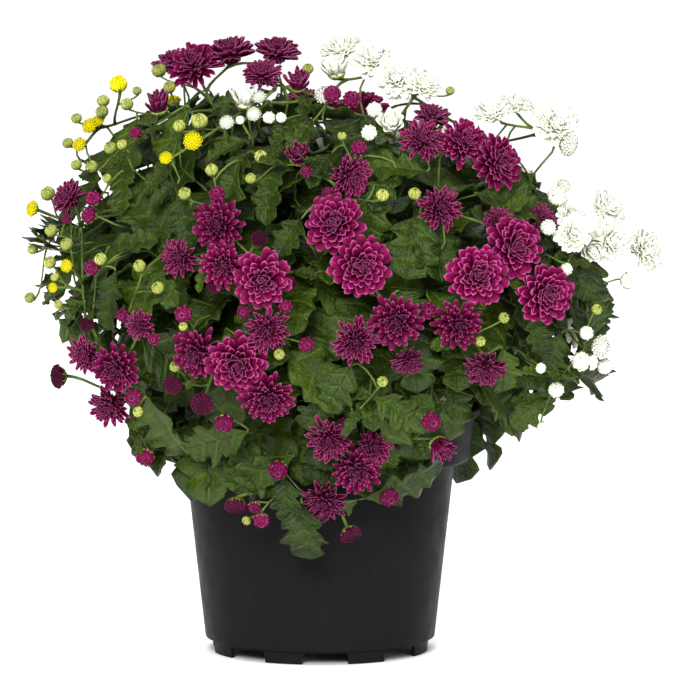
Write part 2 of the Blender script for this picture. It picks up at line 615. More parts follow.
# %% Blooms of the far side
BACK_GROUPS = 16
BACK_GROUP_SIZE = 3
BACK_GROUP_REACH = 12 * MM
BACK_YELLOW_REACH = 6 * MM
BACK_WIDTHS = (30, 25, 22)
BACK_FIRST_TURN = 104
BACK_TURNS = 152
BACK_TOP = 0.95
BACK_FALL = 1.30
BACK_SHARE = 0.98
BACK_LEAST_SHARE = 0.60
BACK_SHARE_STEP = 0.02
BACK_CLEARANCE = Vector((20 * MM, 0, 0))
BACK_SPLAY = 0.25
BACK_RISE = Vector((0, 0, 0.2))
BACK_BUDS = 6
BACK_BUD_RADII = (3.5 * MM, 4.8 * MM)
BACK_BUDS_FIRST_TURN = 100
BACK_BUDS_TURNS = 160
BACK_BUDS_TOP = 0.9
BACK_BUDS_FALL = 1.1
WHITE_TURNS = (60, 165)
YELLOW_TURNS = (215, 300)
BACK_SEED = 23


def colour_at(turn):
    """Which plant flowers at a turn about the axis, 0 at the front and growing to the right."""
    side = math.degrees(turn) % 360
    if WHITE_TURNS[0] < side < WHITE_TURNS[1]:
        return "white"
    if YELLOW_TURNS[0] < side < YELLOW_TURNS[1]:
        return "yellow"
    return "purple"


def back_point(turn, height):
    """A point of the far side, so far out that blooms on it hide behind the front view's outline."""
    share = BACK_SHARE
    point, outward = crown_point(turn, height, share)
    while not inside(LEAFY_OUTLINE, point + BACK_CLEARANCE * outward.x) and share > BACK_LEAST_SHARE:
        share -= BACK_SHARE_STEP
        point, outward = crown_point(turn, height, share)
    return point, outward


def back_blooms(rng):
    """Blooms of the far side, three touching in a group, along a spiral from top to bottom."""
    found = []
    for index in range(BACK_GROUPS):
        turn = math.radians(BACK_FIRST_TURN + BACK_TURNS * ((index * GOLDEN_SHARE) % 1.0))
        middle, outward = back_point(turn, BACK_TOP - BACK_FALL * (index + 0.5) / BACK_GROUPS)
        colour = colour_at(turn)
        side = outward.cross(Vector((0, 0, 1))).normalized()
        rise = side.cross(outward)
        start = rng.uniform(0, math.tau)
        for member in range(BACK_GROUP_SIZE):
            angle = start + math.tau * member / BACK_GROUP_SIZE
            width = BACK_WIDTHS[(index + member) % len(BACK_WIDTHS)]
            shift = side * math.cos(angle) + rise * math.sin(angle)
            place = middle + shift * BACK_GROUP_REACH
            axis = (outward + shift * BACK_SPLAY + BACK_RISE).normalized()
            kind = "open" if width == BACK_WIDTHS[0] else "half"
            if colour == "yellow":
                width = width / 2
                kind = "button"
                place = middle + shift * BACK_YELLOW_REACH
            found.append(dict(colour=colour, kind=kind, place=place, axis=axis, radius=width * MM / 2))
    for index in range(BACK_BUDS):
        share = (index * GOLDEN_SHARE + 0.3) % 1.0
        turn = math.radians(BACK_BUDS_FIRST_TURN + BACK_BUDS_TURNS * share)
        place, outward = back_point(turn, BACK_BUDS_TOP - BACK_BUDS_FALL * (index + 0.5) / BACK_BUDS)
        axis = (outward + BUD_RISE).normalized()
        colour = "green" if index % 3 else colour_at(turn)
        radius = rng.uniform(*BACK_BUD_RADII)
        found.append(dict(colour=colour, kind="bud", place=place, axis=axis, radius=radius))
    return found


far_blooms = back_blooms(random.Random(BACK_SEED))
print("blooms and buds on the far side:", len(far_blooms))

# %% [markdown]
# Two small passes settle neighbours, exactly as they did for the solids: small blooms that nearly
# touch a larger one of their colour are drawn to it, and buds are pushed off what they touch.

# %% Settle the neighbours
SMALL_BLOOM = 11 * MM
SMALL_CUP = 8 * MM
TOUCH_REACH = 5 * MM
TOUCH_OVERLAP = 2.0 * MM
TOUCH_SHARE = 0.80
SPREAD_STEPS = 6
SPREAD_SHARE = 0.95
SPREAD_GAP = 1 * MM


def draw_together(found):
    """Move small blooms that nearly touch a larger one of their colour until they do touch it."""
    opened = [bloom for bloom in found if bloom["kind"] != "bud"]
    opened.sort(key=lambda bloom: -bloom["radius"])
    for index, bloom in enumerate(opened):
        near = [other for other in opened[:index] if other["colour"] == bloom["colour"]]
        if bloom["radius"] > SMALL_BLOOM or not near:
            continue
        other = min(near, key=lambda other: (other["place"] - bloom["place"]).length - other["radius"])
        way = other["place"] - bloom["place"]
        room = way.length - (other["radius"] + bloom["radius"]) * TOUCH_SHARE + TOUCH_OVERLAP
        if 0 < room < TOUCH_REACH + TOUCH_OVERLAP:
            bloom["place"] = bloom["place"] + way.normalized() * room


def spread_out(found):
    """Push buds and small blooms off neighbours that they aren't joined with."""
    for step in range(SPREAD_STEPS):
        for index, bloom in enumerate(found):
            for other in found[:index]:
                small, large = sorted((bloom, other), key=lambda one: one["radius"])
                same = small["colour"] == large["colour"] and "bud" not in (small["kind"], large["kind"])
                if same or small["radius"] > SMALL_BLOOM:
                    continue
                way = small["place"] - large["place"]
                room = (small["radius"] + large["radius"]) * SPREAD_SHARE + SPREAD_GAP - way.length
                if room > 0:
                    small["place"] = small["place"] + way.normalized() * room


def form_of(bloom):
    """A small cup is a ball yet, and the broad petals of a white bloom open early."""
    if bloom["colour"] == "white" and bloom["kind"] == "half":
        return "open"
    if bloom["kind"] != "cup" or bloom["radius"] > SMALL_CUP:
        return bloom["kind"]
    return "bud" if bloom["colour"] == "yellow" else "button"


blooms = near_blooms + far_blooms
draw_together(blooms)
spread_out(blooms)
for bloom in blooms:
    bloom["form"] = form_of(bloom)
for form in ("open", "half", "cup", "button", "bud"):
    print(form, sum(bloom["form"] == form for bloom in blooms))

# %% [markdown]
# Each bloom belongs to one solid. The smallest bloom solid of its colour that holds its middle is
# taken, and a bloom that no bloom solid holds was fused to its leafy stem, so it goes with that.

# %% Which solid each bloom stands for
BOX_MARGIN = 1 * MM
bloom_nodes = sorted(name for name in frame["nodes"] if "_blooms_" in name)


def holds(box, point):
    """Whether a point lies in a box or just outside it."""
    low, high = box
    return all(low[i] - BOX_MARGIN < point[i] < high[i] + BOX_MARGIN for i in range(3))


def box_size(box):
    """The volume of a box."""
    low, high = box
    return (high[0] - low[0]) * (high[1] - low[1]) * (high[2] - low[2])


for bloom in blooms:
    fitting = [
        name for name in bloom_nodes
        if name.startswith(bloom["colour"]) and bloom["kind"] != "bud" and holds(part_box(name), bloom["place"])
    ]
    bloom["node"] = min(fitting, key=lambda name: box_size(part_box(name))) if fitting else None
print("blooms in bloom solids:", sum(bloom["node"] is not None for bloom in blooms))
print("bloom solids without a bloom:", [n for n in bloom_nodes if n not in {b["node"] for b in blooms}])

# %% [markdown]
# A petal starts as a coarse sphere whose poles become its root and its tip, so it is one closed
# blade with a real thickness. Each point is then moved by a formula: the rings are spread along a
# bent midline, widened by the petal's outline, and their edges are raised into a trough. Each point
# also keeps how far along it lies and whether it is on the upper or the under side, for the finish.

# %% One petal
PETAL_STATIONS = (0.0, 0.24, 0.52, 0.78, 0.94, 1.0)
ROUND_TIP = (0.30, 0.54, 0.86, 1.00, 0.72, 0.0)
NARROW_TIP = (0.44, 0.66, 0.92, 1.00, 0.62, 0.0)
PETAL_THICKNESS = 0.045
ALMOST_FLAT = 1e-4


def smooth_mesh(bm, name):
    """Close a bmesh as a smooth mesh."""
    for face in bm.faces:
        face.smooth = True
    mesh = bpy.data.meshes.new(name)
    bm.to_mesh(mesh)
    bm.free()
    return mesh


def petal_mesh(name, width, curl, trough, outline, sides=6):
    """A petal of length 1 along +Y, its upper side to +Z: curl is its total bend in radians."""
    bm = bmesh.new()
    along = bm.verts.layers.float.new("along")
    under = bm.verts.layers.float.new("under")
    across = bm.verts.layers.float.new("across")
    rings = len(PETAL_STATIONS) - 1
    bmesh.ops.create_uvsphere(bm, u_segments=sides, v_segments=rings, radius=1.0)
    for vertex in bm.verts:
        ring = round(math.acos(max(-1.0, min(1.0, vertex.co.z))) / math.pi * rings)
        station = PETAL_STATIONS[ring]
        share = outline[ring]
        angle = math.atan2(vertex.co.y, vertex.co.x) if 0 < ring < rings else 0.0
        x = math.cos(angle) if 0 < ring < rings else 0.0
        lift = math.sin(angle) * PETAL_THICKNESS * (0.4 + 0.6 * share) if 0 < ring < rings else 0.0
        lift += trough * width * share * x * x
        bend = curl * station
        if abs(curl) > ALMOST_FLAT:
            forward = math.sin(bend) / curl
            upward = (1 - math.cos(bend)) / curl
        else:
            forward = station
            upward = 0.0
        vertex.co = (x * width * share / 2, forward - lift * math.sin(bend), upward + lift * math.cos(bend))
        vertex[along] = station
        vertex[under] = 0.5 - 0.5 * math.sin(angle) if 0 < ring < rings else 0.5
        vertex[across] = x
    bmesh.ops.recalc_face_normals(bm, faces=bm.faces)
    return smooth_mesh(bm, name)


trial = petal_mesh("petal_trial", 0.3, 0.4, 0.5, ROUND_TIP)
print("one petal:", len(trial.vertices), "points,", len(trial.polygons), "faces")
bpy.data.meshes.remove(trial)

# %% [markdown]
# A chrysanthemum has a hundred or so petals in a tight spiral. The golden angle, 137.5 degrees from
# one petal to the next, gives the same even, never lined-up rings. From outside in, the petals get
# shorter, stand up more and curl over the middle. A handful of petal shapes serves every bloom of a
# kind, each copy turned, sized and tilted a little by chance, so no two blooms are alike. Only the
# outer petals of an open bloom, which are seen best, get six sides round. The others get four.

# %% Bloom kinds
GOLDEN_ANGLE = math.radians(137.508)
BLOOM_KINDS = {
    "open": dict(
        count=120, root_low=-0.22, root_high=-0.02, root_radius=0.16, tilts=(2, 80), lengths=(0.99, 0.38),
        widths=(0.29, 0.24), curls=(0.20, 0.9), trough=(0.70, 0.50), outline=ROUND_TIP, power=1.0,
    ),
    "half": dict(
        count=116, root_low=-0.34, root_high=0.0, root_radius=0.22, tilts=(8, 84), lengths=(1.0, 0.44),
        widths=(0.24, 0.24), curls=(0.28, 0.9), trough=(0.75, 0.60), outline=NARROW_TIP, power=0.95,
    ),
    "cup": dict(
        count=56, root_low=-0.55, root_high=-0.2, root_radius=0.40, tilts=(50, 86), lengths=(1.28, 0.80),
        widths=(0.28, 0.26), curls=(0.35, 0.7), trough=(0.50, 0.5), outline=NARROW_TIP, power=0.8,
    ),
}
PETAL_STEPS = 5
RICH_STEPS = 2
RICH_SIDES = 6
PLAIN_SIDES = 4


def between(pair, share):
    """The value at a share of the way from the first of a pair to the second."""
    return pair[0] + (pair[1] - pair[0]) * share


def petal_set(kind):
    """The petal shapes of one kind of bloom, from the outermost to the innermost."""
    facts = BLOOM_KINDS[kind]
    shapes = []
    for step in range(PETAL_STEPS):
        share = step / (PETAL_STEPS - 1)
        shapes.append(petal_mesh(
            f"{kind}_petal", between(facts["widths"], share), between(facts["curls"], share),
            between(facts["trough"], share), facts["outline"],
            RICH_SIDES if kind == "open" and step < RICH_STEPS else PLAIN_SIDES,
        ))
    return shapes


PETAL_SETS = {kind: petal_set(kind) for kind in BLOOM_KINDS}
print("petal shapes:", sum(len(shapes) for shapes in PETAL_SETS.values()))

# %% [markdown]
# Most pieces are made of many small meshes. A plot reads in one after another, moves each to its
# place, and gives its points two numbers for the finish: how near the middle of the bloom they are,
# and a light or dark tint. The last step makes it a piece that rides on the plant and stands for
# the solids that it replaces.

# %% Gather meshes in one piece
class Plot:
    """A mesh under construction that carries the four numbers that the finishes read."""

    def __init__(self):
        self.bm = bmesh.new()
        names = ("along", "under", "inner", "tint", "across")
        self.layers = {name: self.bm.verts.layers.float.new(name) for name in names}
        self.count = 0

    def add(self, mesh, matrix, inner=0.0, tint=0.5):
        """Read in a copy of a mesh at a place, and set its two numbers."""
        self.bm.from_mesh(mesh)
        self.bm.verts.ensure_lookup_table()
        fresh = self.bm.verts[self.count:]
        self.count = len(self.bm.verts)
        bmesh.ops.transform(self.bm, matrix=matrix, verts=fresh)
        inner_layer = self.layers["inner"]
        tint_layer = self.layers["tint"]
        for vertex in fresh:
            vertex[inner_layer] = inner
            vertex[tint_layer] = tint

    def piece(self, name, finish, nodes):
        """Close the mesh as a piece of the visual model that stands for one or more solids."""
        mesh = bpy.data.meshes.new(name)
        self.bm.to_mesh(mesh)
        self.bm.free()
        mesh.materials.append(finish)
        item = bpy.data.objects.new(name, mesh)
        bpy.context.scene.collection.objects.link(item)
        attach(item, "root")
        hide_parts(*nodes)


def frame_along(axis):
    """A turn that takes +Z to the given direction."""
    return axis.to_track_quat("Z", "Y").to_matrix().to_4x4()


def ball_mesh():
    """A plain ball that closes the inside of blooms and buds."""
    bm = bmesh.new()
    under = bm.verts.layers.float.new("under")
    bmesh.ops.create_uvsphere(bm, u_segments=8, v_segments=5, radius=1.0)
    for vertex in bm.verts:
        vertex[under] = 1.0
    return smooth_mesh(bm, "ball")


BALL = ball_mesh()
print("a ball has", len(BALL.polygons), "faces")

# %% [markdown]
# A bloom is built in place: each petal is stood on the receptacle at its own turn and tilt. A flat
# ball in its heart closes the gaps between the roots of the petals. Large blooms and white ones
# have broader and lighter petals than the small purple ones.

# %% Grow an open bloom
CUSHION = Matrix.Diagonal((0.46, 0.46, 0.30, 1))
FULL_BLOOM = 13 * MM
LEAST_FULL = 0.72
BROAD_BLOOM = 16.5 * MM
BROADER = 1.42
NARROWER = (0.86, 1.04)
WHITE_BROADER = 1.70
BROAD_TINTS = (0.42, 0.74)
NARROW_TINTS = (0.12, 0.48)
TILT_SWING = 4.5
SPIN_SWING = 0.07
ROLL_SWING = 0.18
LENGTH_SWING = (0.88, 1.05)
TINT_SWING = 0.07
PETAL_REACH = {"purple": 1.04, "white": 1.10, "yellow": 1.0}


def grow_open(plot, bloom, rng):
    """All petals of an opened bloom, by the golden angle from its outer ring to its middle."""
    facts = BLOOM_KINDS[bloom["form"]]
    radius = bloom["radius"] * PETAL_REACH[bloom["colour"]]
    place = Matrix.Translation(bloom["place"]) @ frame_along(bloom["axis"])
    fullness = LEAST_FULL + (1 - LEAST_FULL) * min(1.0, radius / FULL_BLOOM)
    count = round(facts["count"] * fullness)
    broad = bloom["colour"] == "white" or radius > BROAD_BLOOM
    wider = BROADER if broad else rng.uniform(*NARROWER)
    if bloom["colour"] == "white":
        wider = WHITE_BROADER
    bloom_tint = rng.uniform(*(BROAD_TINTS if broad else NARROW_TINTS))
    start = rng.uniform(0, math.tau)
    cushion = Matrix.Translation((0, 0, facts["root_low"] * radius)) @ CUSHION
    plot.add(BALL, place @ cushion @ Matrix.Scale(radius, 4), inner=0.8, tint=bloom_tint)
    for index in range(count):
        share = ((index + 0.5) / count) ** facts["power"]
        shape = PETAL_SETS[bloom["form"]][min(PETAL_STEPS - 1, int(share * PETAL_STEPS))]
        tilt = math.radians(between(facts["tilts"], share) + rng.gauss(0, TILT_SWING))
        size = radius * between(facts["lengths"], share) * rng.uniform(*LENGTH_SWING)
        spin = start + index * GOLDEN_ANGLE + rng.gauss(0, SPIN_SWING)
        root_height = between((facts["root_low"], facts["root_high"]), share)
        root = Vector((0, facts["root_radius"] * (1 - share), root_height)) * radius
        matrix = (
            place @ Matrix.Rotation(spin, 4, "Z") @ Matrix.Translation(root)
            @ Matrix.Rotation(tilt, 4, "X") @ Matrix.Rotation(rng.gauss(0, ROLL_SWING), 4, "Y")
            @ Matrix.Diagonal((size * wider, size, size, 1))
        )
        plot.add(shape, matrix, inner=share, tint=bloom_tint + rng.gauss(0, TINT_SWING))


print("petals in a large open bloom:", BLOOM_KINDS["open"]["count"])

# %% [markdown]
# Closed forms are balls. On a bud, long petals start at its foot and hug the ball nearly to its
# top, and shorter green scales hug them from outside. A petal that bends through an angle has a
# radius of curvature of its length over that angle, so one as long as its angle fits a ball of
# radius 1.
# On a button or pincushion, short petals stand all over a low dome and bend in towards its middle.

# %% Buds and buttons
WRAP_TIP = (0.50, 0.80, 1.00, 0.86, 0.56, 0.0)
BUTTON_PETALS = 60
BUTTON_TINTS = {"purple": (-0.25, 0.05), "white": (0.40, 0.60), "yellow": (0.40, 0.60)}
BUTTON_RIM = math.radians(108)
BUTTON_FLATNESS = 0.62
BUTTON_DOME = 0.86
BUTTON_HEART = 0.80
BUTTON_CROWDING = 0.75
BUTTON_LENGTHS = (0.56, 0.36)
BUTTON_BOW = 0.12
DIMPLE_DEPTH = 0.20
DIMPLE_WIDTH = 0.30
RING_PETALS = 8
HALF_STEP = 0.4
BUD_TINTS = (0.15, 0.6)
GREEN_BUD_TINTS = (0.45, 0.90)
BUD_HEART = 0.92
UNDER_RING = 0.97


def wrapping_petal(name, turn, width):
    """A petal that hugs a ball of radius 1 from its foot up, and bends through a turn in degrees."""
    bend = math.radians(turn)
    mesh = petal_mesh(name, width / bend, bend, 0.30, WRAP_TIP, 4)
    mesh.transform(Matrix.Scale(bend, 4))
    return mesh


LONG_WRAP = wrapping_petal("long_wrap", 168, 0.74)
MIDDLE_WRAP = wrapping_petal("middle_wrap", 122, 0.72)
SHORT_WRAP = wrapping_petal("short_wrap", 78, 0.66)
BUTTON_PETAL = petal_mesh("button_petal", 0.62, 0.55, 0.35, ROUND_TIP, 4)


def ring_of_wraps(plot, shape, foot, size, start, rng, inner, tint):
    """A ring of petals that hug a ball of a size, standing on its foot."""
    for index in range(RING_PETALS):
        spin = start + math.tau * index / RING_PETALS + rng.gauss(0, 0.06)
        stretch = size * rng.uniform(0.97, 1.03)
        matrix = foot @ Matrix.Rotation(spin, 4, "Z") @ Matrix.Scale(stretch, 4)
        plot.add(shape, matrix, inner=inner, tint=tint + rng.gauss(0, 0.06))


def grow_bud(plot, bloom, rng):
    """The petals of a closed bud: a ball, and two rings of petals that meet over its top."""
    radius = bloom["radius"]
    turn = frame_along(bloom["axis"])
    foot = Matrix.Translation(bloom["place"] - bloom["axis"] * radius) @ turn
    tint = rng.uniform(*(GREEN_BUD_TINTS if bloom["colour"] == "green" else BUD_TINTS))
    heart = Matrix.Translation(bloom["place"]) @ turn @ Matrix.Scale(BUD_HEART * radius, 4)
    plot.add(BALL, heart, inner=0.9, tint=tint)
    start = rng.uniform(0, math.tau)
    ring_of_wraps(plot, LONG_WRAP, foot, UNDER_RING * radius, start, rng, 0.2, tint)
    ring_of_wraps(plot, MIDDLE_WRAP, foot, radius, start + HALF_STEP, rng, 0.1, tint)


def grow_button(plot, bloom, rng):
    """A low dome of short petals that bend in, with a dimple in its middle."""
    radius = bloom["radius"]
    place = Matrix.Translation(bloom["place"]) @ frame_along(bloom["axis"])
    flat = Matrix.Diagonal((1, 1, BUTTON_FLATNESS, 1))
    tint = rng.uniform(*BUTTON_TINTS[bloom["colour"]])
    plot.add(BALL, place @ flat @ Matrix.Scale(BUTTON_HEART * radius, 4), inner=0.75, tint=tint)
    for index in range(BUTTON_PETALS):
        share = (index + 0.5) / BUTTON_PETALS
        lean = BUTTON_RIM * (1 - share) ** BUTTON_CROWDING
        dimple = DIMPLE_DEPTH * math.exp(-(lean / DIMPLE_WIDTH) ** 2)
        spot = Vector((0, BUTTON_DOME * math.sin(lean), (BUTTON_DOME - dimple) * math.cos(lean))) * radius
        size = radius * between(BUTTON_LENGTHS, share) * rng.uniform(0.90, 1.06)
        matrix = (
            place @ flat @ Matrix.Rotation(index * GOLDEN_ANGLE, 4, "Z") @ Matrix.Translation(spot)
            @ Matrix.Rotation(math.pi - lean - BUTTON_BOW, 4, "X") @ Matrix.Scale(size, 4)
        )
        plot.add(BUTTON_PETAL, matrix, inner=share, tint=tint + rng.gauss(0, 0.05))


def grow_bloom(plot, bloom, rng):
    """The petals of any bloom or bud."""
    grow = {"bud": grow_bud, "button": grow_button}.get(bloom["form"], grow_open)
    grow(plot, bloom, rng)


print("petals on a button:", BUTTON_PETALS, "in a ring of a bud:", RING_PETALS)

# %% [markdown]
# Now the blooms that have a solid of their own are grown, one piece for each solid. The small ones
# that were fused to a leafy stem come later, with that stem.

# %% Build the blooms
PETAL_SEED = 7
blooms_done = 0
petal_rng = random.Random(PETAL_SEED)
for name in bloom_nodes:
    colour = name.split("_")[0]
    members = [bloom for bloom in blooms if bloom["node"] == name]
    if not members:
        continue
    plot = Plot()
    for bloom in members:
        grow_bloom(plot, bloom, petal_rng)
        blooms_done += 1
    plot.piece(name.replace("_blooms_", "_petals_"), PETAL_FINISH[colour], [name])
print("blooms with petals:", blooms_done)

# %% [markdown]
# The rest of the plant hangs on twelve leafy stems. Each rises from its hole in the soil and bends
# out into the crown, and side stalks leave it one after another, each to one bloom, bud or leaf.
# Paths come first and their meshes later, since they have to meet the blooms. A row here gives a
# leafy stem's name, the colour of its blooms, its hole in the soil, across and back, and the top of
# its main stem, in millimetres.

# %% Main stems
SPRAYS = (
    ("spray_purple_left", "purple", (-34, -26), (-78, -58, 196)),
    ("spray_purple_front", "purple", (-8, -44), (-18, -84, 206)),
    ("spray_purple_low", "purple", (20, -40), (10, -74, 170)),
    ("spray_purple_right", "purple", (42, -18), (84, -66, 222)),
    ("spray_purple_middle", "purple", (8, -20), (30, -52, 272)),
    ("spray_purple_top", "purple", (-16, -8), (-46, -14, 290)),
    ("spray_purple_back", "purple", (-14, 36), (-34, 84, 228)),
    ("spray_white_top", "white", (14, 6), (34, -4, 292)),
    ("spray_white_right", "white", (46, 12), (118, -4, 226)),
    ("spray_white_back", "white", (24, 36), (72, 74, 232)),
    ("spray_yellow_left", "yellow", (-46, 8), (-112, 4, 232)),
    ("spray_yellow_back", "yellow", (-30, 20), (-76, 52, 276)),
)
STEM_RADIUS = 2.4 * MM
JOINT_STEP = 6 * MM
HOLE_DEPTH = 12 * MM
FIRST_RISE = 3 * MM
STEM_PIECES = 9
STEM_THINNING = 0.045
STEM_BARE = 0.3
LEAVE_PULL = 0.35
ARRIVE_PULL = 0.30
UP = Vector((0, 0, 1))


def bent_path(start, end, start_way, end_way, pieces):
    """Points of a smooth stem that leaves along start_way and arrives along end_way."""
    reach = (end - start).length
    first = start + start_way * reach * LEAVE_PULL
    second = end - end_way * reach * ARRIVE_PULL
    points = []
    for index in range(pieces + 1):
        t = index / pieces
        points.append(
            start * (1 - t) ** 3 + first * 3 * t * (1 - t) ** 2 + second * 3 * t * t * (1 - t) + end * t ** 3
        )
    return points


class Spray:
    """One leafy stem: its tubes, and the joints that stalks and leaves can grow from."""

    def __init__(self, name, colour, hole, top):
        self.name = name
        self.colour = colour
        self.foot = Vector((hole[0] * MM, hole[1] * MM, SOIL_TOP - HOLE_DEPTH))
        self.top = Vector(top) * MM
        self.tubes = []
        self.stalks = []
        self.joints = []
        self.blooms = []
        self.leaves = []

    def grow(self, path, radii, first):
        """Add a stem, from which others can grow beyond the share of its length that stays bare."""
        self.tubes.append((path, radii))
        for index in range(len(path) - 1):
            way = (path[index + 1] - path[index]).normalized()
            steps = max(1, round((path[index + 1] - path[index]).length / JOINT_STEP))
            for step in range(steps):
                share = (index + step / steps) / (len(path) - 1)
                if share >= first:
                    self.joints.append([path[index].lerp(path[index + 1], step / steps), way, 0])


sprays = [Spray(*row) for row in SPRAYS]
for spray in sprays:
    away = (spray.top - spray.foot).normalized()
    base = Vector((spray.foot.x, spray.foot.y, SOIL_TOP + FIRST_RISE))
    path = [spray.foot] + bent_path(base, spray.top, UP, (away + UP * 0.4).normalized(), STEM_PIECES)
    spray.grow(path, [STEM_RADIUS * (1 - STEM_THINNING * index) for index in range(len(path))], STEM_BARE)


# %% [markdown]
# Every bloom and bud gets a stalk, the largest first. It grows from the joint that costs it least:
# near, lower than its end, little used, on the right plant, and one that it can leave without a
# sharp turn. Each new stalk offers joints of its own, so the stems branch as real ones do.

# %% Stalks to the blooms
STALK_RADIUS = 1.05 * MM
BUD_STALK_RADIUS = 0.62 * MM
STALK_BARE = 0.25
STALK_PIECE = 12 * MM
STALK_DEPTH = {"open": 0.42, "half": 0.55, "cup": 0.95, "button": 0.60, "bud": 1.0}
SPRAY_PULL = 0.6
OTHER_COLOUR_COST = 1.9
CLIMB_COST = 0.5
TURN_COST = 14 * MM
CROWDED_COST = 25 * MM
CROWDED_BUDS_COST = 5 * MM


def stalk_end(bloom):
    """Where a stalk meets a bloom or bud from below."""
    return bloom["place"] - bloom["axis"] * bloom["radius"] * STALK_DEPTH[bloom["form"]]


def best_joint(end, bloom):
    """The joint that a stalk to this point grows from: near, below it, and on the right plant."""
    best = None
    crowded = CROWDED_BUDS_COST if bloom["form"] == "bud" else CROWDED_COST
    for spray in sprays:
        penalty = 1.0 if bloom["colour"] in ("green", spray.colour) else OTHER_COLOUR_COST
        apart = (spray.top - end).length * SPRAY_PULL
        for joint in spray.joints:
            place, way, used = joint
            line = end - place
            climb = max(0.0, place.z - end.z) * CLIMB_COST
            turning = (1 - way.dot(line.normalized())) * TURN_COST
            cost = (line.length + apart) * penalty + climb + turning + used * crowded
            if best is None or cost < best[0]:
                best = (cost, spray, joint)
    return best[1], best[2]


for bloom in sorted(blooms, key=lambda bloom: -bloom["radius"]):
    end = stalk_end(bloom)
    spray, joint = best_joint(end, bloom)
    place, way, used = joint
    straight = (end - place).normalized()
    leave = (way * 0.5 + straight).normalized()
    arrive = (bloom["axis"] * 0.5 + straight).normalized()
    pieces = 3 + round((end - place).length / STALK_PIECE)
    path = bent_path(place, end, leave, arrive, pieces)
    thick = STALK_RADIUS if bloom["kind"] != "bud" else BUD_STALK_RADIUS
    radii = [thick * (1.15 - 0.35 * math.sin(math.pi * index / pieces)) for index in range(pieces + 1)]
    spray.grow(path, radii, STALK_BARE)
    spray.stalks.append((path, radii))
    joint[2] += 1
    spray.blooms.append(bloom)
print("stalks:", sum(len(spray.tubes) for spray in sprays))

# %% [markdown]
# A leaf blade is a grid that is narrowed to a lobed outline: each row of points is as wide as the
# outline says there. The rows also slope forward towards the edge, which turns the bulges into
# lobes that point to the tip, and lets the veins run along the rows. The blade is then folded a
# little along its midrib, arched, rippled along its edge, and given its thickness.

# %% Lobed leaves
LEAF_EDGE = (
    (0.0, 0.05), (0.05, 0.12), (0.10, 0.38), (0.16, 0.70), (0.22, 0.86), (0.28, 0.84), (0.33, 0.66),
    (0.38, 0.56), (0.43, 0.70), (0.49, 0.94), (0.55, 1.0), (0.61, 0.92), (0.66, 0.68), (0.71, 0.56),
    (0.76, 0.64), (0.82, 0.70), (0.88, 0.62), (0.94, 0.42), (1.0, 0.0),
)
LEAF_SLOPE = 0.16
LEAF_THICKNESS = 0.018
TOOTH_PACE = 1.4
TOOTH_DEPTH = 0.11
LEAF_SHAPES = 6
LEAF_FOLDS = (0.06, 0.20)
LEAF_ARCHES = (0.10, 0.34)
LEAF_RIPPLES = (0.03, 0.07)
LEAF_SWAYS = (-0.10, 0.10)
RIPPLE_PACE = 15
QUILT_HEIGHT = 0.024
QUILT_PACE = 31


def edge_share(along):
    """Half width of the blade at a share of its length, as a share of its greatest half width."""
    for (low, first), (high, second) in zip(LEAF_EDGE, LEAF_EDGE[1:]):
        if along <= high:
            return first + (second - first) * (along - low) / (high - low)
    return 0.0


def leaf_mesh(name, rows, columns, seed):
    """A leaf of length 1 along +Y and half width 1 along X, its upper side to +Z."""
    chance = random.Random(seed)
    fold = chance.uniform(*LEAF_FOLDS)
    arch = chance.uniform(*LEAF_ARCHES)
    ripple = chance.uniform(*LEAF_RIPPLES)
    phase = chance.uniform(0, math.tau)
    sway = chance.uniform(*LEAF_SWAYS)
    bm = bmesh.new()
    along_layer = bm.verts.layers.float.new("along")
    across_layer = bm.verts.layers.float.new("across")
    under_layer = bm.verts.layers.float.new("under")
    bmesh.ops.create_grid(bm, x_segments=columns, y_segments=rows, size=1.0)
    for vertex in bm.verts:
        u = vertex.co.x
        v = (vertex.co.y + 1) / 2
        tooth = 1 - TOOTH_DEPTH * (0.5 + 0.5 * math.sin(v * rows * TOOTH_PACE + phase)) * abs(u) ** 3
        x = u * edge_share(v) * tooth
        y = v + LEAF_SLOPE * abs(x) * (1 - v * v)
        wave = math.sin(v * RIPPLE_PACE + phase + (u > 0) * 1.7)
        lift = abs(x) * fold - arch * y * y + ripple * x * x * wave
        lift += QUILT_HEIGHT * math.sin(v * QUILT_PACE + phase + 2.6 * abs(u)) * (abs(x) * 2) ** 1.5
        vertex.co = (x + sway * y * y, y, lift)
        vertex[along_layer] = v
        vertex[across_layer] = x
        vertex[under_layer] = 0.0
    bmesh.ops.remove_doubles(bm, verts=bm.verts, dist=1e-4)
    bmesh.ops.recalc_face_normals(bm, faces=bm.faces)
    if sum(face.normal.z for face in bm.faces) < 0:
        bmesh.ops.reverse_faces(bm, faces=bm.faces)
    first = set(bm.verts)
    bmesh.ops.solidify(bm, geom=bm.faces, thickness=LEAF_THICKNESS)
    second = set(bm.verts) - first
    height = {side: sum(vertex.co.z for vertex in verts) for side, verts in ((0, first), (1, second))}
    for vertex in (first if height[0] < height[1] else second):
        vertex[under_layer] = 1.0
    return smooth_mesh(bm, name)


LARGE_LEAVES = [leaf_mesh("large_leaf", 34, 10, seed) for seed in range(LEAF_SHAPES)]
SMALL_LEAVES = [leaf_mesh("small_leaf", 14, 4, seed + 50) for seed in range(LEAF_SHAPES)]
INNER_LEAVES = [leaf_mesh("inner_leaf", 9, 2, seed + 90) for seed in range(LEAF_SHAPES)]
for shapes in (LARGE_LEAVES, SMALL_LEAVES, INNER_LEAVES):
    print(shapes[0].name, "has", len(shapes[0].polygons), "faces")

# %% [markdown]
# The leaves that the front view shows are placed one by one, as the blooms are: each has the place
# of its base, the place of its tip and a width. The nearest stem carries it on a thin stalk.

